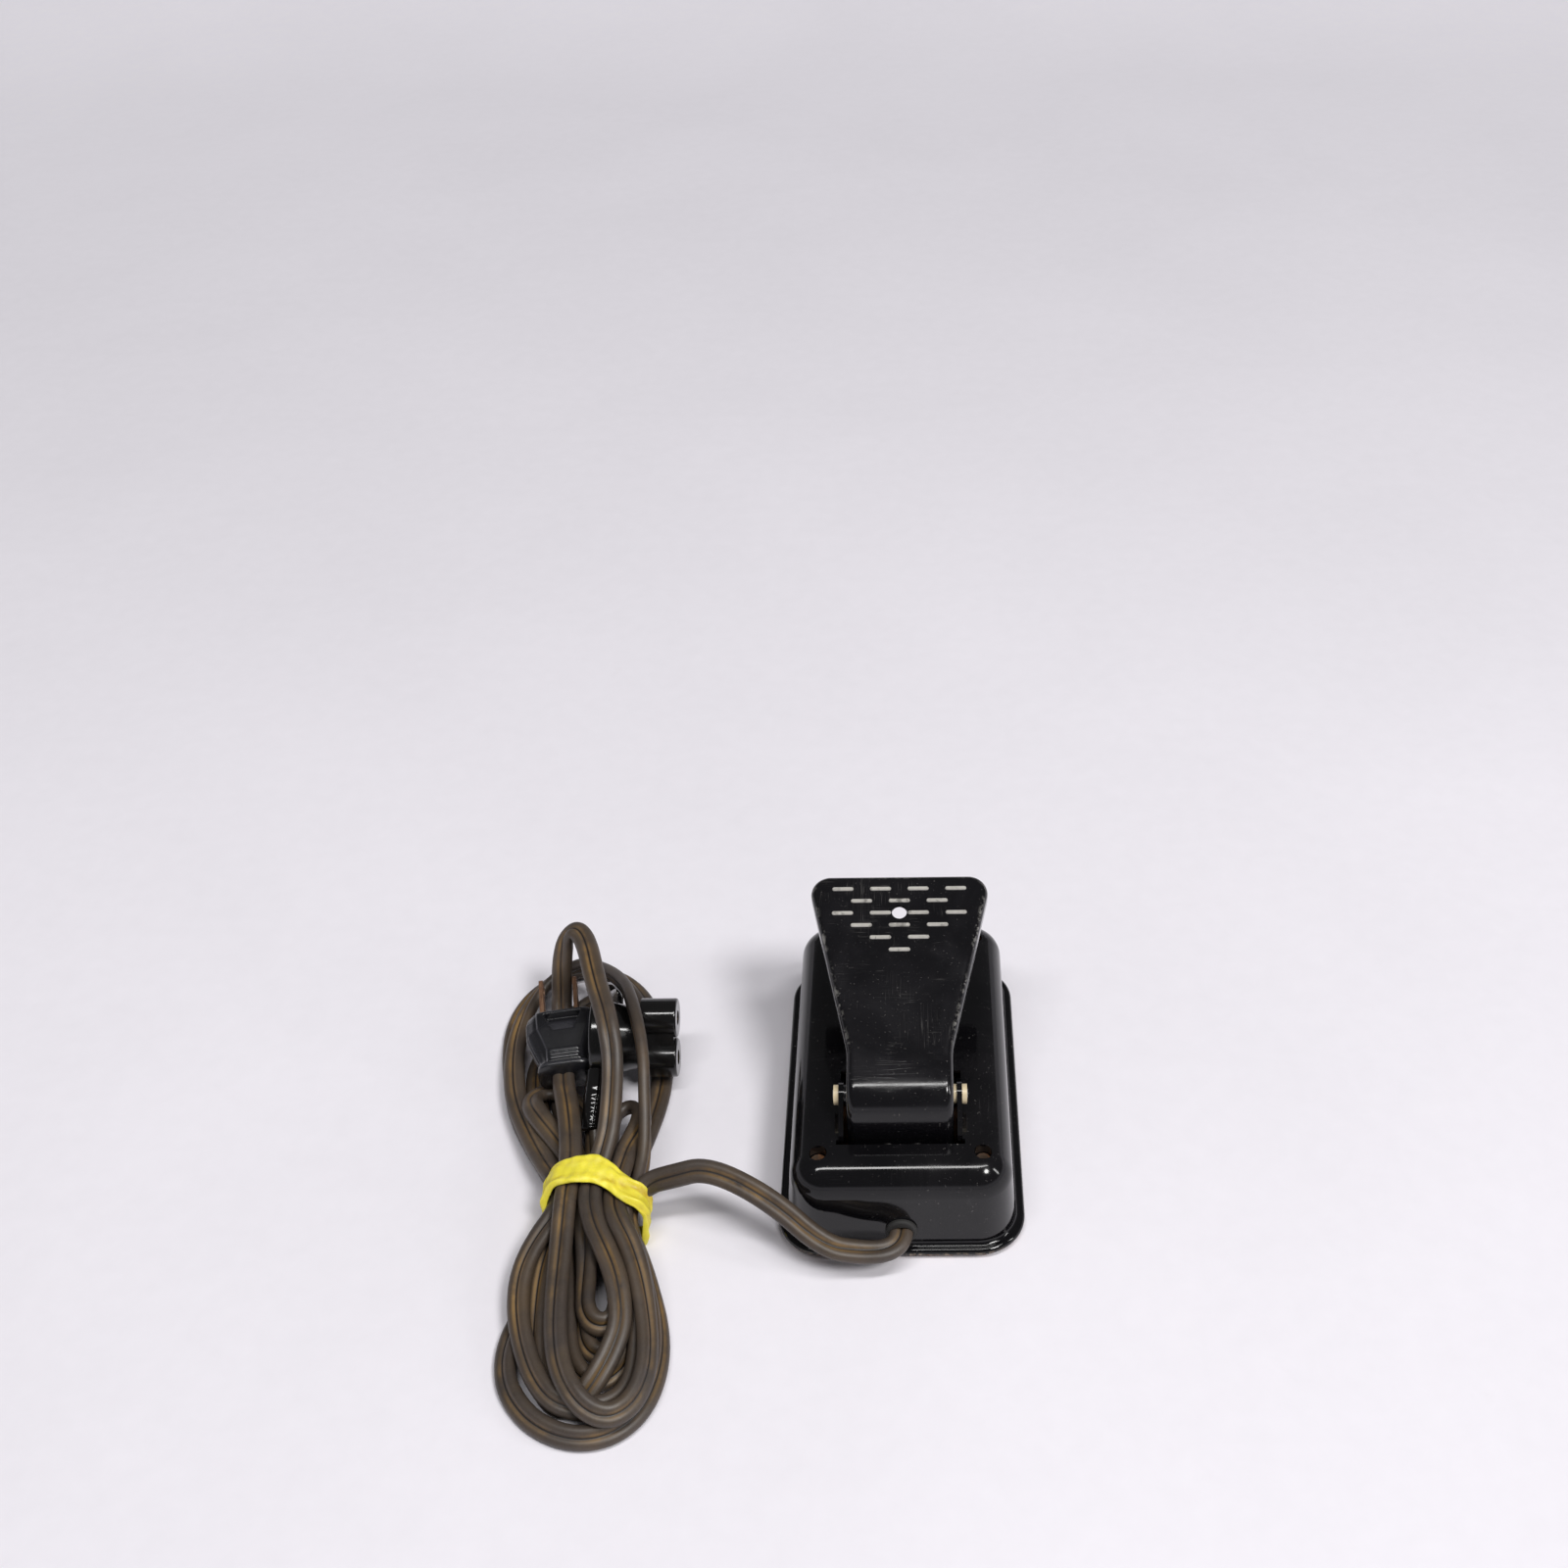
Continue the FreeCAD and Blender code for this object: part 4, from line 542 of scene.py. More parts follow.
enamel = {
    "black": (0.0032, 0.0031, 0.0038),
    "smear": (0.0060, 0.0057, 0.0066),
    "scratch": (0.10, 0.095, 0.10),
    "dust": (0.30, 0.28, 0.27),
    "bare": (0.55, 0.42, 0.30),         # steel that shows on the front of the lip
    "roughness": 0.07,
    "coat": 0.15,
    "rustFade": (0.0010, 0.0046),       # heights over which the lip's rust fades out
    "bareFade": (0.0034, 0.0016),
    "frontFade": (-0.066, -0.0695),     # Y over which the front of the lip begins
}


# Stoved black enamel on the case: brown rust and bare steel along the foot's lip, dust and faint
# rubs elsewhere, each laid over the one before by its own mask.
def coverEnamel():
    material, tree, shader, place = startMaterial("coverEnamel", Coat_Roughness=0.04, Specular_IOR_Level=0.30)
    _, y, z = splitPlace(tree, place)
    marks = placeGroup(tree, "handled", place, Smears=26.0, Dust=0.55)
    lines = placeGroup(tree, "scratched", place, Amount=0.30)
    low = rangeNode(tree, z, *enamel["rustFade"], 1.0, 0.0, smooth=True)
    front = rangeNode(tree, y, *enamel["frontFade"])
    rust = placeGroup(tree, "rusted", place, Where=times(tree, low, 0.72), Grain=900.0)
    spots = rangeNode(tree, noiseNode(tree, place, 420.0, 3.0, 0.6), 0.50, 0.60)
    bare = times(tree, spots, times(tree, front, rangeNode(tree, z, *enamel["bareFade"])))
    colour = mixColour(tree, marks["Smear"], enamel["black"], enamel["smear"])
    colour = overlaid(tree, colour, (times(tree, lines["Scratch"], 0.4), enamel["scratch"]),
                      (marks["Dust"], enamel["dust"]), (rust["Rust"], rust["Colour"]), (bare, enamel["bare"]))
    gloss = stacked(tree, enamel["roughness"], (marks["Smear"], 0.10), (lines["Scratch"], 0.2), (rust["Rust"], 0.55))
    coat = minus(tree, enamel["coat"], times(tree, rust["Rust"], enamel["coat"]), clamp=True)
    connect(tree, shader, Base_Color=colour, Roughness=gloss, Metallic=times(tree, bare, 0.85), Coat_Weight=coat)
    skin = noiseNode(tree, place, 240.0, 2.0, 0.5)
    height = plus(tree, times(tree, skin, 0.06), times(tree, rust["Height"], 0.9))
    bumpTo(tree, shader, height, 0.35, 0.0004)
    return material


tread = {
    "up": (0.0, -0.292372, 0.956305),   # the plate's normal at rest
    "level": 0.065342,                  # the plate's top along that normal
    "crest": 0.00055,                   # how high a dash stands
    # Over these shares of the dash height the bright metal colour also paints the dashes' highlight.
    "crestFade": (0.15, 0.5),           # shares of that height over which the metal shows
    "rimFade": (-0.0021, -0.0010),      # the rounded rim, below the plate's top
    "rimTop": (-0.0001, -0.0007),
    "plateFade": (-0.0004, -0.0001),
    "flange": (-0.0058, -0.0070),       # down to the flange's lower edge
    "chipsFrom": (-0.030, -0.018),      # Y over which the chips begin
    "black": (0.0042, 0.0040, 0.0050),
    "smear": (0.0125, 0.0118, 0.0140),
    "scratch": (0.13, 0.125, 0.12),
    "dust": (0.36, 0.34, 0.32),
    "metalAndHighlight": ((0.50, 0.48, 0.44), (0.78, 0.76, 0.71)),
    "roughness": 0.10,
    "coat": 0.12,
}


# The tread's enamel: dashes rubbed to bright metal whose colour also paints their highlights, the rim
# and the flange's edge chipped, grey scratches across the middle. above is how far a point stands over the plate's
# plane.
def treadEnamel():
    material, tree, shader, place = startMaterial("treadEnamel", Specular_IOR_Level=0.36, Coat_Roughness=0.06)
    dot = addNode(tree, "ShaderNodeVectorMath", operation="DOT_PRODUCT")
    tree.links.new(place, dot.inputs[0])
    dot.inputs[1].default_value = tread["up"]
    above = minus(tree, dot.outputs["Value"], tread["level"])
    y = splitPlace(tree, place)[1]
    marks = placeGroup(tree, "handled", place, Smears=34.0, Dust=0.55)
    lines = placeGroup(tree, "scratched", place, Amount=0.40)
    chips = noiseNode(tree, place, 520.0, 4.0, 0.65)
    mottle = noiseNode(tree, place, 260.0, 2.0)
    # Painted highlight: the dash tops take the bright metal colour, which stands in for their glint as well as
    # rubbed enamel.
    crest = rangeNode(tree, above, *(tread["crest"] * share for share in tread["crestFade"]))
    crest = times(tree, crest, rangeNode(tree, mottle, 0.30, 0.44, 0.35, 1.0))
    rim = times(tree, rangeNode(tree, above, *tread["rimFade"]), rangeNode(tree, above, *tread["rimTop"]))
    edge = rangeNode(tree, above, *tread["flange"])
    patches = rangeNode(tree, noiseNode(tree, place, 85.0, 3.0), 0.42, 0.60)
    worn = mathNode(tree, "MAXIMUM", times(tree, rim, 0.30), times(tree, edge, 0.5))
    worn = times(tree, worn, times(tree, rangeNode(tree, chips, 0.50, 0.58), patches))
    worn = times(tree, worn, rangeNode(tree, y, *tread["chipsFrom"]))
    bare = mathNode(tree, "MAXIMUM", worn, crest)
    plate = rangeNode(tree, above, *tread["plateFade"])
    rubbed = times(tree, plate, times(tree, marks["Smear"], 0.55))
    colour = mixColour(tree, rubbed, tread["black"], tread["smear"])
    colour = overlaid(tree, colour, (times(tree, lines["Scratch"], plate), tread["scratch"]),
                      (marks["Dust"], tread["dust"]), (bare, mixColour(tree, chips, *tread["metalAndHighlight"])))
    gloss = stacked(tree, tread["roughness"], (marks["Smear"], 0.14), (bare, 0.18))
    coat = times(tree, minus(tree, 1.0, bare), tread["coat"])
    connect(tree, shader, Base_Color=colour, Roughness=gloss, Metallic=times(tree, bare, 0.55), Coat_Weight=coat)
    height = minus(tree, times(tree, mottle, 0.08), times(tree, lines["Scratch"], 0.25))
    bumpTo(tree, shader, height, 0.3, 0.0004)
    return material


# Plated or drawn metal: a brushed grain, tone that drifts, and rust where the plating has gone.
def metalFinish(name, base, roughness, rust, grain=(40, 900, 40)):
    material, tree, shader, place = startMaterial(name, Specular_IOR_Level=0.5)
    tone = placeGroup(tree, "toned", place, Base=base, Light=1.25, Dark=0.62, Size=120.0)
    decay = placeGroup(tree, "rusted", place, Where=rust, Grain=1300.0)
    brushed = noiseNode(tree, stretched(tree, place, grain), 1.0, 2.0, 0.5)
    connect(tree, shader, Base_Color=mixColour(tree, decay["Rust"], tone["Colour"], decay["Colour"]),
            Roughness=stacked(tree, roughness, (tone["Fine"], 0.16), (decay["Rust"], 0.45)),
            Metallic=minus(tree, 1.0, times(tree, decay["Rust"], 0.8)))
    bumpTo(tree, shader, plus(tree, times(tree, brushed, 0.12), decay["Height"]), 0.3, 0.0003)
    return material


# Moulded plastic, rubber, bakelite or ceramic: slow tone, handling smears, a little dust and a fine
# skin. If asked, the piece's edge values paint it paler: handling wear, painted highlights and painted light.
def mouldedFinish(name, base, roughness, coat=0.0, light=1.35, dark=0.75, size=90.0, dust=0.25, bump=0.10,
                  wornAndLitEdges=False):
    material, tree, shader, place = startMaterial(name, Specular_IOR_Level=0.5, Coat_Roughness=0.06)
    tone = placeGroup(tree, "toned", place, Base=base, Light=light, Dark=dark, Size=size)
    marks = placeGroup(tree, "handled", place, Smears=38.0, Dust=dust)
    dusty = tuple(min(1.0, 0.10 + 1.6 * c) for c in base)
    colour = mixColour(tree, marks["Dust"], tone["Colour"], dusty)
    if wornAndLitEdges:
        # Paler where the edge values point: part handling wear, part painted highlight and painted light.
        rubbed = times(tree, attributeNode(tree, "edge"), rangeNode(tree, tone["Fine"], 0.30, 0.60, 0.35, 1.0))
        colour = mixColour(tree, rubbed, colour, tuple(min(1.0, 0.012 + 5.0 * c) for c in base))
    shine = times(tree, coat, minus(tree, 1.0, times(tree, marks["Smear"], 0.4)))
    connect(tree, shader, Base_Color=colour, Roughness=stacked(tree, roughness, (marks["Smear"], 0.14)),
            Coat_Weight=shine)
    height = plus(tree, times(tree, tone["Fine"], bump), times(tree, marks["Dust"], 0.3))
    bumpTo(tree, shader, height, 0.3, 0.0004)
    return material


board = {"resin": (0.085, 0.036, 0.017), "paper": (0.215, 0.105, 0.052), "dust": (0.35, 0.27, 0.2)}


# Laminated board: paper grain along X over a red-brown resin.
def boardFinish():
    material, tree, shader, place = startMaterial("boardBrown", Specular_IOR_Level=0.45)
    grain = noiseNode(tree, stretched(tree, place, (18, 520, 260)), 1.0, 4.0, 0.6)
    marks = placeGroup(tree, "handled", place, Smears=50.0, Dust=0.4)
    colour = mixColour(tree, grain, board["resin"], board["paper"])
    connect(tree, shader, Base_Color=mixColour(tree, marks["Dust"], colour, board["dust"]),
            Roughness=rangeNode(tree, grain, 0.3, 0.7, 0.38, 0.55))
    bumpTo(tree, shader, grain, 0.2, 0.0002)
    return material


flexLook = {
    "core": (0.046, 0.036, 0.030),      # grey-brown on the cores
    "worn": (0.255, 0.150, 0.048),      # golden where the old rubber has worn
    # deep is painted shade in the groove between the cores.
    "deep": (0.012, 0.009, 0.008),      # down in the groove
    "rub": (0.115, 0.086, 0.056),
    "roughness": 0.38,
}


# Old rubber flex: grey-brown cores, golden wear beside the groove that comes and goes along the run,
# painted shade down in the groove, and fine cracks.
def flexFinish():
    material, tree, shader, place = startMaterial("flexBrown", Specular_IOR_Level=0.50)
    ridge = attributeNode(tree, "ridge")
    run = addNode(tree, "ShaderNodeCombineXYZ")
    tree.links.new(attributeNode(tree, "run"), run.inputs[0])
    tone = placeGroup(tree, "toned", place, Base=flexLook["core"], Light=1.35, Dark=0.68, Size=48.0)
    slow = noiseNode(tree, run.outputs[0], 22.0, 3.0, 0.6)
    patchy = noiseNode(tree, place, 70.0, 4.0, 0.6, 0.4)
    golden = times(tree, rangeNode(tree, slow, 0.38, 0.62), rangeNode(tree, patchy, 0.30, 0.58))
    beside = times(tree, rangeNode(tree, ridge, 0.05, 0.30), rangeNode(tree, ridge, 1.0, 0.70, 0.18, 1.0))
    golden = times(tree, times(tree, golden, beside), 0.85)
    rubs = rangeNode(tree, noiseNode(tree, place, 38.0, 5.0, 0.62), 0.54, 0.70)
    # The dark colour in the groove is painted shade.
    colour = overlaid(tree, tone["Colour"], (golden, flexLook["worn"]),
                      (rangeNode(tree, ridge, 0.16, 0.02), flexLook["deep"]),
                      (times(tree, rubs, 0.36), flexLook["rub"]))
    connect(tree, shader, Base_Color=colour,
            Roughness=stacked(tree, flexLook["roughness"], (tone["Fine"], 0.18), (rubs, -0.08)))
    cracks = noiseNode(tree, place, 900.0, 2.0, 0.5)
    bumpTo(tree, shader, plus(tree, times(tree, cracks, 0.25), times(tree, tone["Broad"], 0.4)), 0.25, 0.0003)
    return material


# The darker orange is painted shade for the band's folds.
bandLook = {"yellow": (0.84, 0.74, 0.060), "shadedCrease": (0.42, 0.25, 0.012), "bloom": (0.90, 0.82, 0.25)}


# Yellow rubber band: painted shade in its creases, a powdery bloom, soft light through the thin rubber.
def bandFinish():
    material, tree, shader, place = startMaterial("bandYellow", Specular_IOR_Level=0.4, Subsurface_Weight=0.12,
                                                  Subsurface_Scale=0.002, Subsurface_Radius=(1.0, 0.8, 0.2))
    tone = placeGroup(tree, "toned", place, Base=bandLook["yellow"], Light=1.08, Dark=0.84, Size=70.0)
    shadedCrease = attributeNode(tree, "shadedCrease")
    bloom = noiseNode(tree, place, 260.0, 4.0, 0.6)
    # Painted shade: darker orange where the crease values mark the folds.
    colour = overlaid(tree, tone["Colour"], (times(tree, shadedCrease, 0.75), bandLook["shadedCrease"]),
                      (rangeNode(tree, bloom, 0.5, 0.8, 0.0, 0.35), bandLook["bloom"]))
    connect(tree, shader, Base_Color=colour, Roughness=rangeNode(tree, bloom, 0.3, 0.7, 0.34, 0.52))
    bumpTo(tree, shader, plus(tree, bloom, times(tree, shadedCrease, -1.5)), 0.25, 0.0002)
    return material


blade = {"dark": (0.20, 0.105, 0.066), "bright": (0.36, 0.21, 0.13), "tarnish": (0.10, 0.048, 0.028)}


# Copper-coloured blades: drawn lines along them and brown tarnish.
def bladeFinish():
    material, tree, shader, place = startMaterial("bladeCopper", Specular_IOR_Level=0.5)
    drawn = noiseNode(tree, stretched(tree, place, (900, 30, 60), (0.0, 0.0, 0.17)), 1.0, 3.0, 0.6)
    stain = noiseNode(tree, place, 260.0, 4.0, 0.62)
    colour = mixColour(tree, rangeNode(tree, drawn, 0.35, 0.65), blade["dark"], blade["bright"])
    colour = mixColour(tree, rangeNode(tree, stain, 0.52, 0.68, 0.0, 0.7), colour, blade["tarnish"])
    connect(tree, shader, Base_Color=colour, Roughness=rangeNode(tree, stain, 0.3, 0.7, 0.34, 0.62),
            Metallic=rangeNode(tree, stain, 0.6, 0.8, 0.85, 0.4))
    bumpTo(tree, shader, drawn, 0.25, 0.0002)
    return material


finishes = {
    "black_enamel": coverEnamel(),
    "treadle": treadEnamel(),
    "plate_steel": mouldedFinish("plateBlack", (0.020, 0.019, 0.018), 0.42, dust=0.7),
    "zinc_steel": metalFinish("steelPlated", (0.42, 0.41, 0.39), 0.30, 0.10),
    "rusty_steel": metalFinish("steelRusty", (0.12, 0.085, 0.062), 0.46, 0.62),
    "spring_steel": metalFinish("springWire", (0.22, 0.21, 0.21), 0.30, 0.16, (300, 300, 300)),
    "black_rubber": mouldedFinish("rubberBlack", (0.016, 0.0155, 0.015), 0.62, dust=0.7, bump=0.3),
    "yellow_rubber": bandFinish(),
    "cream_plastic": mouldedFinish("creamMoulding", (0.66, 0.55, 0.36), 0.34, 0.1, 1.12, 0.78, 240.0, 0.2),
    "black_plastic": mouldedFinish("plugBlack", (0.0080, 0.0080, 0.0098), 0.22, 0.10, dust=0.45, wornAndLitEdges=True),
    "bakelite": mouldedFinish("bakeliteBlack", (0.0040, 0.0038, 0.0038), 0.11, 0.15, dust=0.30, bump=0.05),
    "board_brown": boardFinish(),
    "brass": metalFinish("brassTarnished", (0.56, 0.38, 0.15), 0.30, 0.06),
    "bronze": metalFinish("bronzeWire", (0.42, 0.25, 0.13), 0.34, 0.05, (400, 400, 400)),
    "copper_blade": bladeFinish(),
    "carbon": mouldedFinish("carbonGrey", (0.022, 0.022, 0.023), 0.5, bump=0.25),
    "ceramic": mouldedFinish("ceramicCream", (0.58, 0.52, 0.44), 0.45, 0.0, 1.1, 0.8, 150.0, 0.4),
    "brown_flex": flexFinish(),
}

for name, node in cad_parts.items():
    for slot in node.material_slots:
        packed = slot.material.name.split(".")[0]
        slot.material = finishes["treadle" if name == "treadle" else packed]
print("materials on", len(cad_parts), "nodes")

pedalFlex = addPiece("pedalFlex", pedalMesh, finishes["brown_flex"])
mainsFlex = addPiece("mainsFlex", mainsMesh, finishes["brown_flex"])

band = {
    "centre": (-0.1075, 0.0110),  # X and Z of the bundle's middle
    "reach": 0.0030,              # flex this near the ring along Y shapes it
    "right": -0.0918,             # flex further right than this lies outside the band
    "half": 0.0056,               # half its width
    "thick": 0.0011,
    "clear": 0.00025,             # off the flex
    "floor": 0.0003,
    "around": 260,
    "across": 44,
    # turn round the bundle in degrees (0 right, 90 top), place along Y, share of the width
    "lie": [(-90, -0.0566, 0.80), (-35, -0.0592, 0.72), (0, -0.0588, 0.76), (32, -0.0562, 0.90),
            (62, -0.0508, 1.02), (95, -0.0478, 1.10), (125, -0.0480, 1.00), (155, -0.0502, 0.80),
            (180, -0.0530, 0.66), (215, -0.0552, 0.66), (270, -0.0566, 0.80)],
    "arch": [(-0.1112, 0.0236), (-0.1060, 0.0230)],   # it bridges these points of the section, X and Z
    "ringPasses": 14,             # smoothing of the section, and of how it lies
    "liePasses": 12,
    "foldAt": 52,                 # degrees round, where the band has turned over itself
    "lap": 0.00050,               # how high each of its folds stands
    "roll": 0.00100,
    "rim": 0.00042,
    "gather": 0.00115,
    "ripples": [(0.00010, 23, 4), (0.00012, 9, -7)],  # height, waves round and across
}


def bell(v, middle, width):
    return np.exp(-((v - middle) / width) ** 2)


# Each value becomes the mean of itself twice and its two neighbours, round a closed ring.
def evened(values, passes):
    for _ in range(passes):
        values = (np.roll(values, 1, axis=0) + values * 2 + np.roll(values, -1, axis=0)) / 4
    return values


# The smoothed outline of the bundle where the band lies: its point in direction n is the furthest
# core along n, plus the core's radius along n. The outline is then spaced evenly.
def bandRing(spec, lines):
    lie = np.array(spec["lie"])
    near = []
    for path, lean in lines:
        wide = alongPath(path, lean)[1]
        turned = np.degrees(np.arctan2(path[:, 2] - spec["centre"][1], path[:, 0] - spec["centre"][0]))
        turned = np.where(turned < -90, turned + 360, turned)
        off = np.abs(path[:, 1] - np.interp(turned, lie[:, 0], lie[:, 1]))
        pick = (off < spec["reach"]) & (path[:, 0] < spec["right"])
        near += [(path + wide * side * flex["coreGap"])[pick][:, [0, 2]] for side in (-1, 1)]
    cores = np.vstack([*near, np.array(spec["arch"]) - [0.0, flex["coreRadius"]]])
    angle = np.linspace(0, 2 * np.pi, 720, endpoint=False)
    n = np.stack([np.cos(angle), np.sin(angle)], axis=1)
    hull = cores[(cores @ n.T).argmax(0)] + n * (flex["coreRadius"] + spec["clear"])
    hull = np.vstack([hull, hull[:1]])
    gone = distanceAlong(hull)
    even = np.linspace(0, gone[-1], spec["around"], endpoint=False)
    ring = np.stack([np.interp(even, gone, hull[:, i]) for i in (0, 1)], axis=1)
    for _ in range(spec["ringPasses"]):
        ring = evened(ring, 1)
        ring = ring + (ring - ring.mean(0)) * 0.0008     # makes up for what the smoothing draws in
    return ring


# Carries a flat oval section round the ring: point = ring + normal*rise, moved along Y by the band's
# lie and the section's own width. The rise adds a lap and a roll where the band has turned over, a
# rim, and gathers at the sides. The crease values, 1 down in the folds, paint shade there.
def bandAround(spec, lines):
    ring = bandRing(spec, lines)
    tangent = unit(np.roll(ring, -1, axis=0) - np.roll(ring, 1, axis=0))
    normal = np.stack([tangent[:, 1], -tangent[:, 0]], axis=1)
    middle = ring.mean(0)
    a = np.arctan2(ring[:, 1] - middle[1], ring[:, 0] - middle[0])[:, None]
    turn = np.degrees(np.where(a < -np.pi / 2, a + 2 * np.pi, a))[:, 0]
    lie = np.array(spec["lie"])
    place = evened(np.interp(turn, lie[:, 0], lie[:, 1]), spec["liePasses"])
    width = evened(np.interp(turn, lie[:, 0], lie[:, 2]) * spec["half"], spec["liePasses"])
    section = np.linspace(0, 2 * np.pi, spec["across"], endpoint=False)[None, :]
    t = np.sign(np.cos(section)) * np.abs(np.cos(section)) ** 0.62      # -1 to 1 over the width
    outer = smoothStep(-0.05, 0.45, np.sin(section))
    past = a - np.radians(spec["foldAt"])
    slant = past * 0.9 + t * 0.75
    upTo = smoothStep(1.75, 0.9, a)
    lap = smoothStep(-0.16, 0.10, slant) * upTo
    roll = bell(t + 0.9 * past, 0.35, 0.20) * bell(past, 0.0, 0.8)
    rim = bell(t - 0.12 * np.sin(2 * a), -0.74, 0.20) + 0.8 * bell(t, 0.78, 0.17)
    sides = smoothStep(0.60, 0.98, np.abs(np.cos(a)))
    gather = np.abs(np.sin(t * 5.2 + 1.4 * np.sin(2.0 * a) + 0.6)) ** 1.5
    ripples = sum(size * np.sin(a * around + t * over) for size, around, over in spec["ripples"])
    relief = outer * (spec["lap"] * lap + spec["roll"] * roll + spec["rim"] * rim
                      + spec["gather"] * gather * sides + ripples)
    rise = spec["thick"] * np.abs(np.sin(section)) ** 0.55 * (np.sin(section) > 0) + relief
    grid = np.zeros((spec["around"], spec["across"], 3))
    grid[:, :, 0] = ring[:, None, 0] + normal[:, None, 0] * rise
    grid[:, :, 2] = np.maximum(ring[:, None, 1] + normal[:, None, 1] * rise, spec["floor"])
    grid[:, :, 1] = place[:, None] + t * width[:, None] + 0.0004 * np.sin(a * 5 + 1.0)
    mesh = outwards(gridMesh("rubberBand", grid, around=True, along=True))
    # Painted shade: the crease values darken the folds, the valleys between the gathers and two lines along the
    # band.
    folded = 0.9 * bell(slant, -0.12, 0.10) * upTo
    deep = np.clip(folded + 0.5 * (1 - gather) * sides + 0.25 * bell(np.abs(t), 0.5, 0.12), 0, 1)
    pointValues(mesh, "shadedCrease", np.broadcast_to(outer * deep, grid.shape[:2]).ravel())
    return mesh


rubberBand = addPiece("rubberBand", bandAround(band, [(pedalPath, pedalLean), (mainsPath, mainsLean)]),
                      finishes["yellow_rubber"])
print("rubber band round the hank")

# lengths in millimetres; each pair is a distance from the rear end and a half size there
plug = {
    "rear": (-0.1234, 0.0, 0.0178),   # middle of its rear end, in metres
    "turn": 10.0,                     # degrees, anticlockwise from +Y
    "tilt": 8.0,                      # degrees upwards
    "stations": [(0, 2.6, 26), (2.75, 25.3, 130), (25.4, 26.2, 10)],   # from, to, how many sections
    "across": [(0.0, 10.2), (0.6, 10.5), (1.9, 10.4), (2.6, 9.0), (4.5, 9.4), (9.0, 11.2), (14.0, 13.1),
               (18.0, 14.2), (22.5, 14.2), (25.4, 13.2), (26.2, 12.4)],
    "thick": [(0.0, 7.8), (0.6, 8.2), (1.9, 8.0), (2.6, 5.9), (5.0, 5.3), (9.0, 5.5), (14.0, 6.2),
              (18.0, 6.7), (24.0, 6.7), (25.6, 6.3), (26.2, 5.6)],
    "panel": [(0.0, 5.4), (4.0, 6.4), (9.0, 6.4), (13.0, 7.6), (18.0, 9.4), (26.2, 9.8)],
    "panelRise": 0.55,
    "shoulder": 1.3,                  # how far the top falls away beside the panel
    "recess": (16.6, 24.0, 3.6, 6.6), # from, to, half width at the rear and at the front
    "recessDeep": 3.4,
    "ribs": (5.0, 6.5, 8.0),
    "ribRise": 0.40,
    "ribWide": 0.36,
    "ledges": (-0.35, 0.10, 0.55),    # how high up the side they run, as the sine round the section
    "ledgeRise": 0.55,
    "ledgeSink": 0.15,                # of the side between the ledges
}


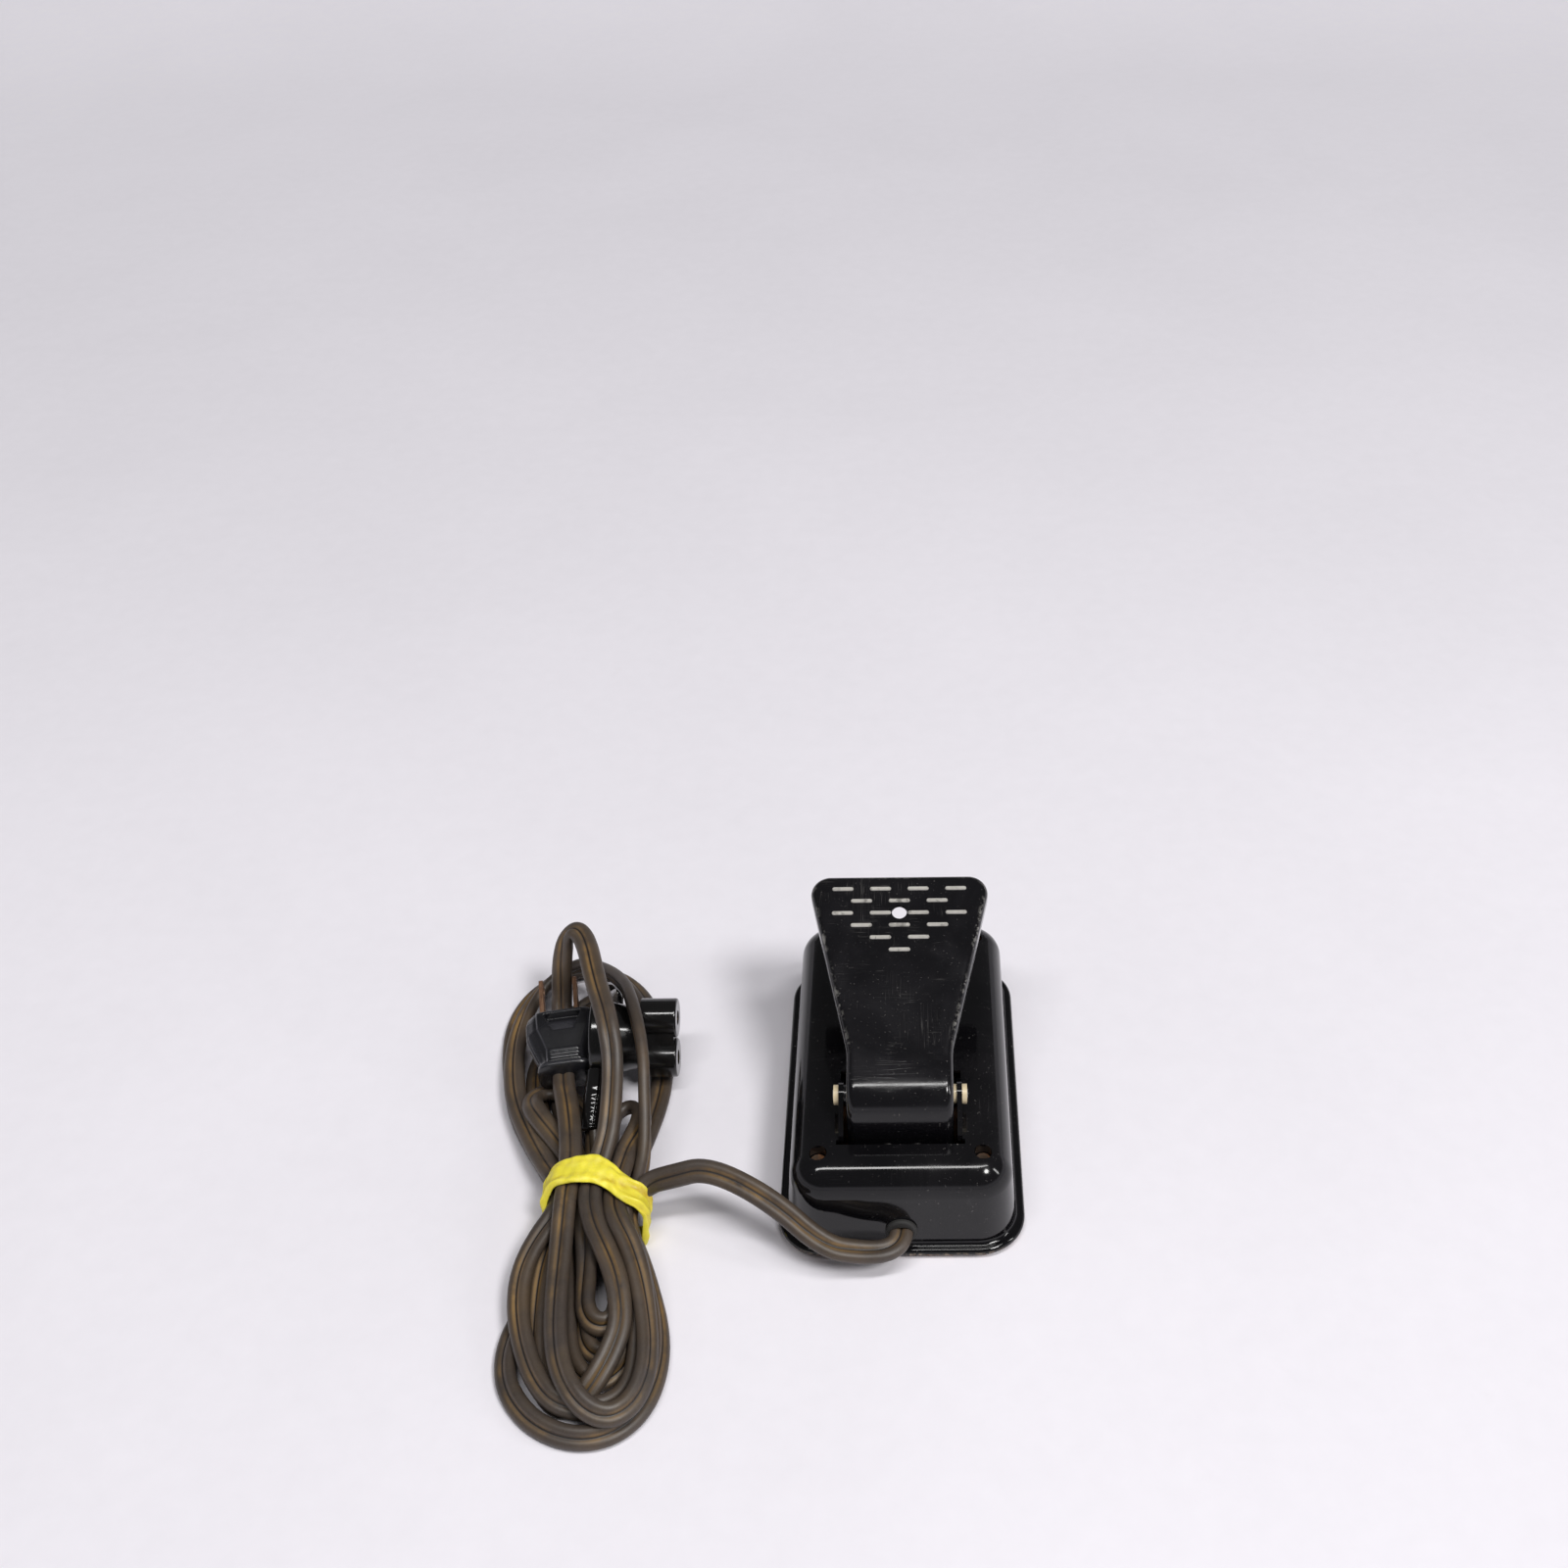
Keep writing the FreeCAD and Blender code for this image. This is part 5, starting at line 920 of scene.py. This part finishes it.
# Sections from the rear end to the face: a squared oval, half width*|cos|^0.5 by half
# thickness*|sin|^0.55, from the two lists. On top a shield-shaped panel stands up, with a
# wedge-shaped sink and three ribs; ledges for the fingers run along each side. edge is 1 on the
# edges that are worn paler and carry painted highlights, and on the sink's rear ramp as painted light.
def plugBody(spec):
    station = np.concatenate([np.linspace(*part) for part in spec["stations"]])
    turn = np.linspace(0, 2 * np.pi, 200, endpoint=False)[None, :]
    c, d = np.cos(turn), np.sin(turn)
    half = np.interp(station, *np.array(spec["across"]).T)[:, None]
    deep = np.interp(station, *np.array(spec["thick"]).T)[:, None]
    for sizes in (half, deep):
        for _ in range(3):
            sizes[1:-1] = (sizes[:-2] + 2 * sizes[1:-1] + sizes[2:]) / 4
    w = half * np.sign(c) * np.abs(c) ** 0.50
    h = deep * np.sign(d) * np.abs(d) ** 0.55
    s = np.broadcast_to(station[:, None], w.shape)
    top = smoothStep(0.35, 0.85, h / deep)
    panelHalf = np.interp(station, *np.array(spec["panel"]).T)[:, None]
    offPanel = np.abs(w) - panelHalf
    panel = smoothStep(0.5, -0.5, offPanel) * smoothStep(3.0, 3.8, s)
    start, stop, narrow, wide = spec["recess"]
    share = (s - start) / (stop - start)
    sink = smoothStep(0.35, -0.35, np.abs(w) - (narrow + (wide - narrow) * share))
    sink = sink * smoothStep(-0.06, 0.06, share) * smoothStep(1.07, 0.97, share)
    ribs = sum(bell(s, at, spec["ribWide"]) for at in spec["ribs"]) * smoothStep(0.4, -0.4, np.abs(w) - 5.2)
    fall = smoothStep(0.0, 1.0, offPanel / np.maximum(half - panelHalf, 0.5)) * smoothStep(3.0, 6.0, s)
    h = h + top * (spec["panelRise"] * panel + spec["ribRise"] * ribs
                   - spec["recessDeep"] * sink * (0.12 + 0.88 * share) - spec["shoulder"] * fall)
    ledges = sum(bell(d, at, 0.11) for at in spec["ledges"]) * smoothStep(4.0, 6.0, s) * smoothStep(18.5, 15.5, s)
    side = smoothStep(0.55, 0.80, np.abs(w) / half)
    w = w + np.sign(w) * side * (spec["ledgeRise"] * ledges - spec["ledgeSink"])
    grid = np.stack([w, s, h], axis=-1) * mm
    tilt, heading = math.radians(spec["tilt"]), math.radians(spec["turn"])
    forward = np.array([-math.sin(heading) * math.cos(tilt), math.cos(heading) * math.cos(tilt), math.sin(tilt)])
    level = np.array([math.cos(heading), math.sin(heading), 0.0])
    rise = np.cross(level, forward)
    placed = np.array(spec["rear"]) + grid[..., :1] * level + grid[..., 1:2] * forward + grid[..., 2:] * rise
    mesh = outwards(gridMesh("plugBody", placed, around=True, capEnds=True))
    # The edge values: painted highlights on the panel's rim, the face's rim, the rear collar, the ribs and the
    # ledges, where handling also wears the moulding paler, and painted light on the sink's rear ramp.
    rim = bell(np.abs(w), panelHalf, 0.32) * smoothStep(3.4, 4.4, s) * 0.75 + bell(s, 25.3, 0.4) * 0.6
    rim = rim + bell(s, 1.0, 0.6) * 0.7 + 0.6 * ribs + 0.75 * sink * smoothStep(0.85, 0.45, share)
    value = np.clip(top * rim + side * ledges * 0.5, 0, 1)
    pointValues(mesh, "edge", np.concatenate([value.ravel(), [0.0, 0.0]]))
    return mesh


sleeve = {
    "start": (0.0066, 0.0041),        # half width and half thickness at the connector
    "end": (0.0051, 0.0033),
    "lip": 0.0003,                    # how far it bulges near its end
    "rings": 0.012,                   # the faint rings' height, as a share
    "front": 0.021,                   # how long each one is
    "rear": 0.020,
}


# A tapered moulding round a flex: squared ovals whose half sizes run evenly from start to end, with
# faint rings and a lip.
def sleeveOn(name, path, lean, length, spec):
    gone = distanceAlong(path)
    at = np.linspace(0, length, 60)
    spine = np.stack([np.interp(at, gone, path[:, i]) for i in range(3)], axis=1)
    _, wide, thick = alongPath(spine, np.interp(at, gone, lean))
    share = (at / length)[:, None]
    size = np.array(spec["start"]) * (1 - share) + np.array(spec["end"]) * share
    rings = np.cos(share * 44) * smoothStep(0.25, 0.35, share) * smoothStep(0.98, 0.9, share)
    size = size * (1 + spec["rings"] * rings) + spec["lip"] * bell(share, 0.97, 0.03)
    size[-1] *= 0.93
    turn = np.linspace(0, 2 * np.pi, 40, endpoint=False)[None, :]
    x = size[:, :1] * np.sign(np.cos(turn)) * np.abs(np.cos(turn)) ** 0.7
    y = size[:, 1:] * np.sign(np.sin(turn)) * np.abs(np.sin(turn)) ** 0.7
    grid = spine[:, None, :] + wide[:, None, :] * x[..., None] + thick[:, None, :] * y[..., None]
    return outwards(gridMesh(name, grid, around=True, capEnds=True))


spring = {
    "coil": 0.0038,
    "wire": 0.0006,
    "turns": 7.5,
    "base": 0.0366,     # the plateau it stands on
    "keep": 0.64,       # its share of length left with the treadle right down
}


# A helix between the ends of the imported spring's box, its pitch closing up in the first and last
# turn; the wire's circle is carried along it.
def coilSpring(spec):
    low, high = np.array(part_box("return_spring"))
    middle = (low + high) / 2
    t = np.linspace(0, 1, 640)
    pitch = 0.42 + 0.58 * smoothStep(0.07, 0.18, t) * smoothStep(0.93, 0.82, t)
    rise = np.concatenate([[0.0], np.cumsum((pitch[1:] + pitch[:-1]) / 2)])
    turn = 2 * np.pi * spec["turns"] * t
    outward = np.stack([np.cos(turn), np.sin(turn), np.zeros_like(turn)], axis=1)
    path = outward * spec["coil"]
    path[:, :2] += middle[:2]
    path[:, 2] = low[2] + spec["wire"] + (high[2] - low[2] - 2 * spec["wire"]) * rise / rise[-1]
    across = np.cross(unit(np.gradient(path, axis=0)), outward)
    around = np.linspace(0, 2 * np.pi, 14, endpoint=False)[None, :, None]
    circle = outward[:, None, :] * np.cos(around) + across[:, None, :] * np.sin(around)
    grid = path[:, None, :] + spec["wire"] * circle
    return outwards(gridMesh("coilSpring", grid, around=True, capEnds=True))


springPiece = addPiece("coilSpring", coilSpring(spring), finishes["spring_steel"])
plugPiece = addPiece("plugBody", plugBody(plug), finishes["black_plastic"])
frontMesh = sleeveOn("frontSleeve", pedalPath[::-1], pedalLean[::-1], sleeve["front"], sleeve)
rearMesh = sleeveOn("rearSleeve", mainsPath, mainsLean, sleeve["rear"], sleeve)
frontSleeve = addPiece("frontSleeve", frontMesh, finishes["bakelite"])
rearSleeve = addPiece("rearSleeve", rearMesh, finishes["bakelite"])
for piece, material in ((springPiece, "spring_steel"), (plugPiece, "black_plastic"), (frontSleeve, "bakelite"),
                        (rearSleeve, "bakelite"), (pedalFlex, "brown_flex"), (mainsFlex, "brown_flex"),
                        (rubberBand, "yellow_rubber")):
    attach(piece, "case")
for piece, node in ((springPiece, "return_spring"), (plugPiece, "mains_plug"), (pedalFlex, "pedal_lead"),
                    (mainsFlex, "cord_hank"), (rubberBand, "rubber_band")):
    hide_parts(node)
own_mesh(springPiece)
print("spring, sleeves, plug and flexes in place")

studio = {
    "floor": (0.815, 0.795, 0.850),
    "stain": (0.60, 0.56, 0.56),
    "lift": 0.20,                     # how much the board glows further off, which keeps it pale
    "liftFrom": (0.15, 1.6),
    "reach": 3.0,
    "bend": 1.2,                      # Y where the floor begins to curve up
    "curve": 1.1,                     # the curve's radius
    "room": (0.98, 0.975, 1.0),
    "roomLight": 0.115,
    "wall": (0.74, 0.72, 0.78),
    "wallFade": (0.26, 0.10),         # how high over the horizon the pale wall ends
    # strength, how wide in degrees, from where, colour
    "sun": (1.50, 13.0, (0.42, -0.42, 0.80), (1.0, 0.99, 0.975)),
    # name, place, aimed at, size x, size y, watts, colour
    "lamps": [
        ("stripLamp", (0.05, -0.30, 1.20), (0.0, -0.04, 0.0), 1.20, 0.12, 9.0, (1.0, 0.99, 0.98)),
        ("sideLamp", (1.05, -0.30, 0.62), (0.0, 0.0, 0.03), 0.10, 0.50, 2.2, (1.0, 0.99, 0.98)),
    ],
}


# Pale board: a faint lilac tone that drifts and a few soft stains.
def floorFinish(spec):
    material, tree, shader, place = startMaterial("floorPale", Specular_IOR_Level=0.25, Roughness=0.55,
                                                  Emission_Strength=spec["lift"])
    tone = placeGroup(tree, "toned", place, Base=spec["floor"], Light=1.03, Dark=0.965, Size=4.0)
    stain = rangeNode(tree, noiseNode(tree, place, 30.0, 5.0, 0.7), 0.66, 0.80, 0.0, 0.10)
    far = addNode(tree, "ShaderNodeVectorMath", operation="LENGTH")
    tree.links.new(place, far.inputs[0])
    seen = addNode(tree, "ShaderNodeLightPath").outputs["Is Camera Ray"]
    lift = times(tree, rangeNode(tree, far.outputs["Value"], *spec["liftFrom"]), seen)
    connect(tree, shader, Base_Color=mixColour(tree, stain, tone["Colour"], spec["stain"]),
            Emission_Color=mixColour(tree, lift, (0.0, 0.0, 0.0), spec["floor"]))
    bumpTo(tree, shader, noiseNode(tree, place, 350.0, 3.0), 0.05, 0.0003)
    return material


# A level sheet that curves up behind: past the bend its height is radius*(1 - cos of the angle).
def studioFloor(spec):
    u = np.linspace(-spec["reach"], spec["reach"], 5)
    v = np.concatenate([np.linspace(-spec["reach"], spec["bend"], 6), spec["bend"] + np.linspace(0.05, 1.5, 16)])
    angle = np.clip((v - spec["bend"]) / spec["curve"], 0, np.pi / 2)
    grid = np.zeros((len(v), len(u), 3))
    grid[:, :, 0] = u[None, :]
    grid[:, :, 1] = v[:, None]
    grid[:, :, 2] = (spec["curve"] * (1 - np.cos(angle)))[:, None]
    addPiece("studioFloor", gridMesh("studioFloor", grid), floorFinish(spec))


# Turned so that the light goes down the direction: tipped from straight down, then swung round Z.
def addLight(name, kind, energy, tint, direction, place=(0.0, 0.0, 0.0)):
    light = bpy.data.lights.new(name, kind)
    light.energy, light.color = energy, tint
    holder = bpy.data.objects.new(name, light)
    holder.location = place
    holder.rotation_euler = [math.acos(-direction[2] / np.linalg.norm(direction)), 0.0,
                             math.atan2(direction[1], direction[0]) - math.pi / 2]
    scene.collection.objects.link(holder)
    return light


studioFloor(studio)
for name, place, aim, sizeX, sizeY, watts, tint in studio["lamps"]:
    lamp = addLight(name, "AREA", watts, tint, np.array(aim) - np.array(place), place)
    lamp.shape = "RECTANGLE"
    lamp.size, lamp.size_y = sizeX, sizeY
strength, spread, fromWhere, tint = studio["sun"]
addLight("roomLight", "SUN", strength, tint, -np.array(fromWhere)).angle = math.radians(spread)

world = bpy.data.worlds.new("studioWorld")
world.use_nodes = True
room = world.node_tree
sky = room.nodes["Background"]
height = splitPlace(room, addNode(room, "ShaderNodeTexCoord").outputs["Generated"])[2]
paleBelow = rangeNode(room, height, *studio["wallFade"], smooth=True)     # dim room above the pale wall
dim = tuple(studio["roomLight"] * c for c in studio["room"])
room.links.new(mixColour(room, paleBelow, dim, studio["wall"]), sky.inputs["Color"])
sky.inputs["Strength"].default_value = 1.0
scene.world = world
scene.view_settings.view_transform = "Standard"
print("studio ready")
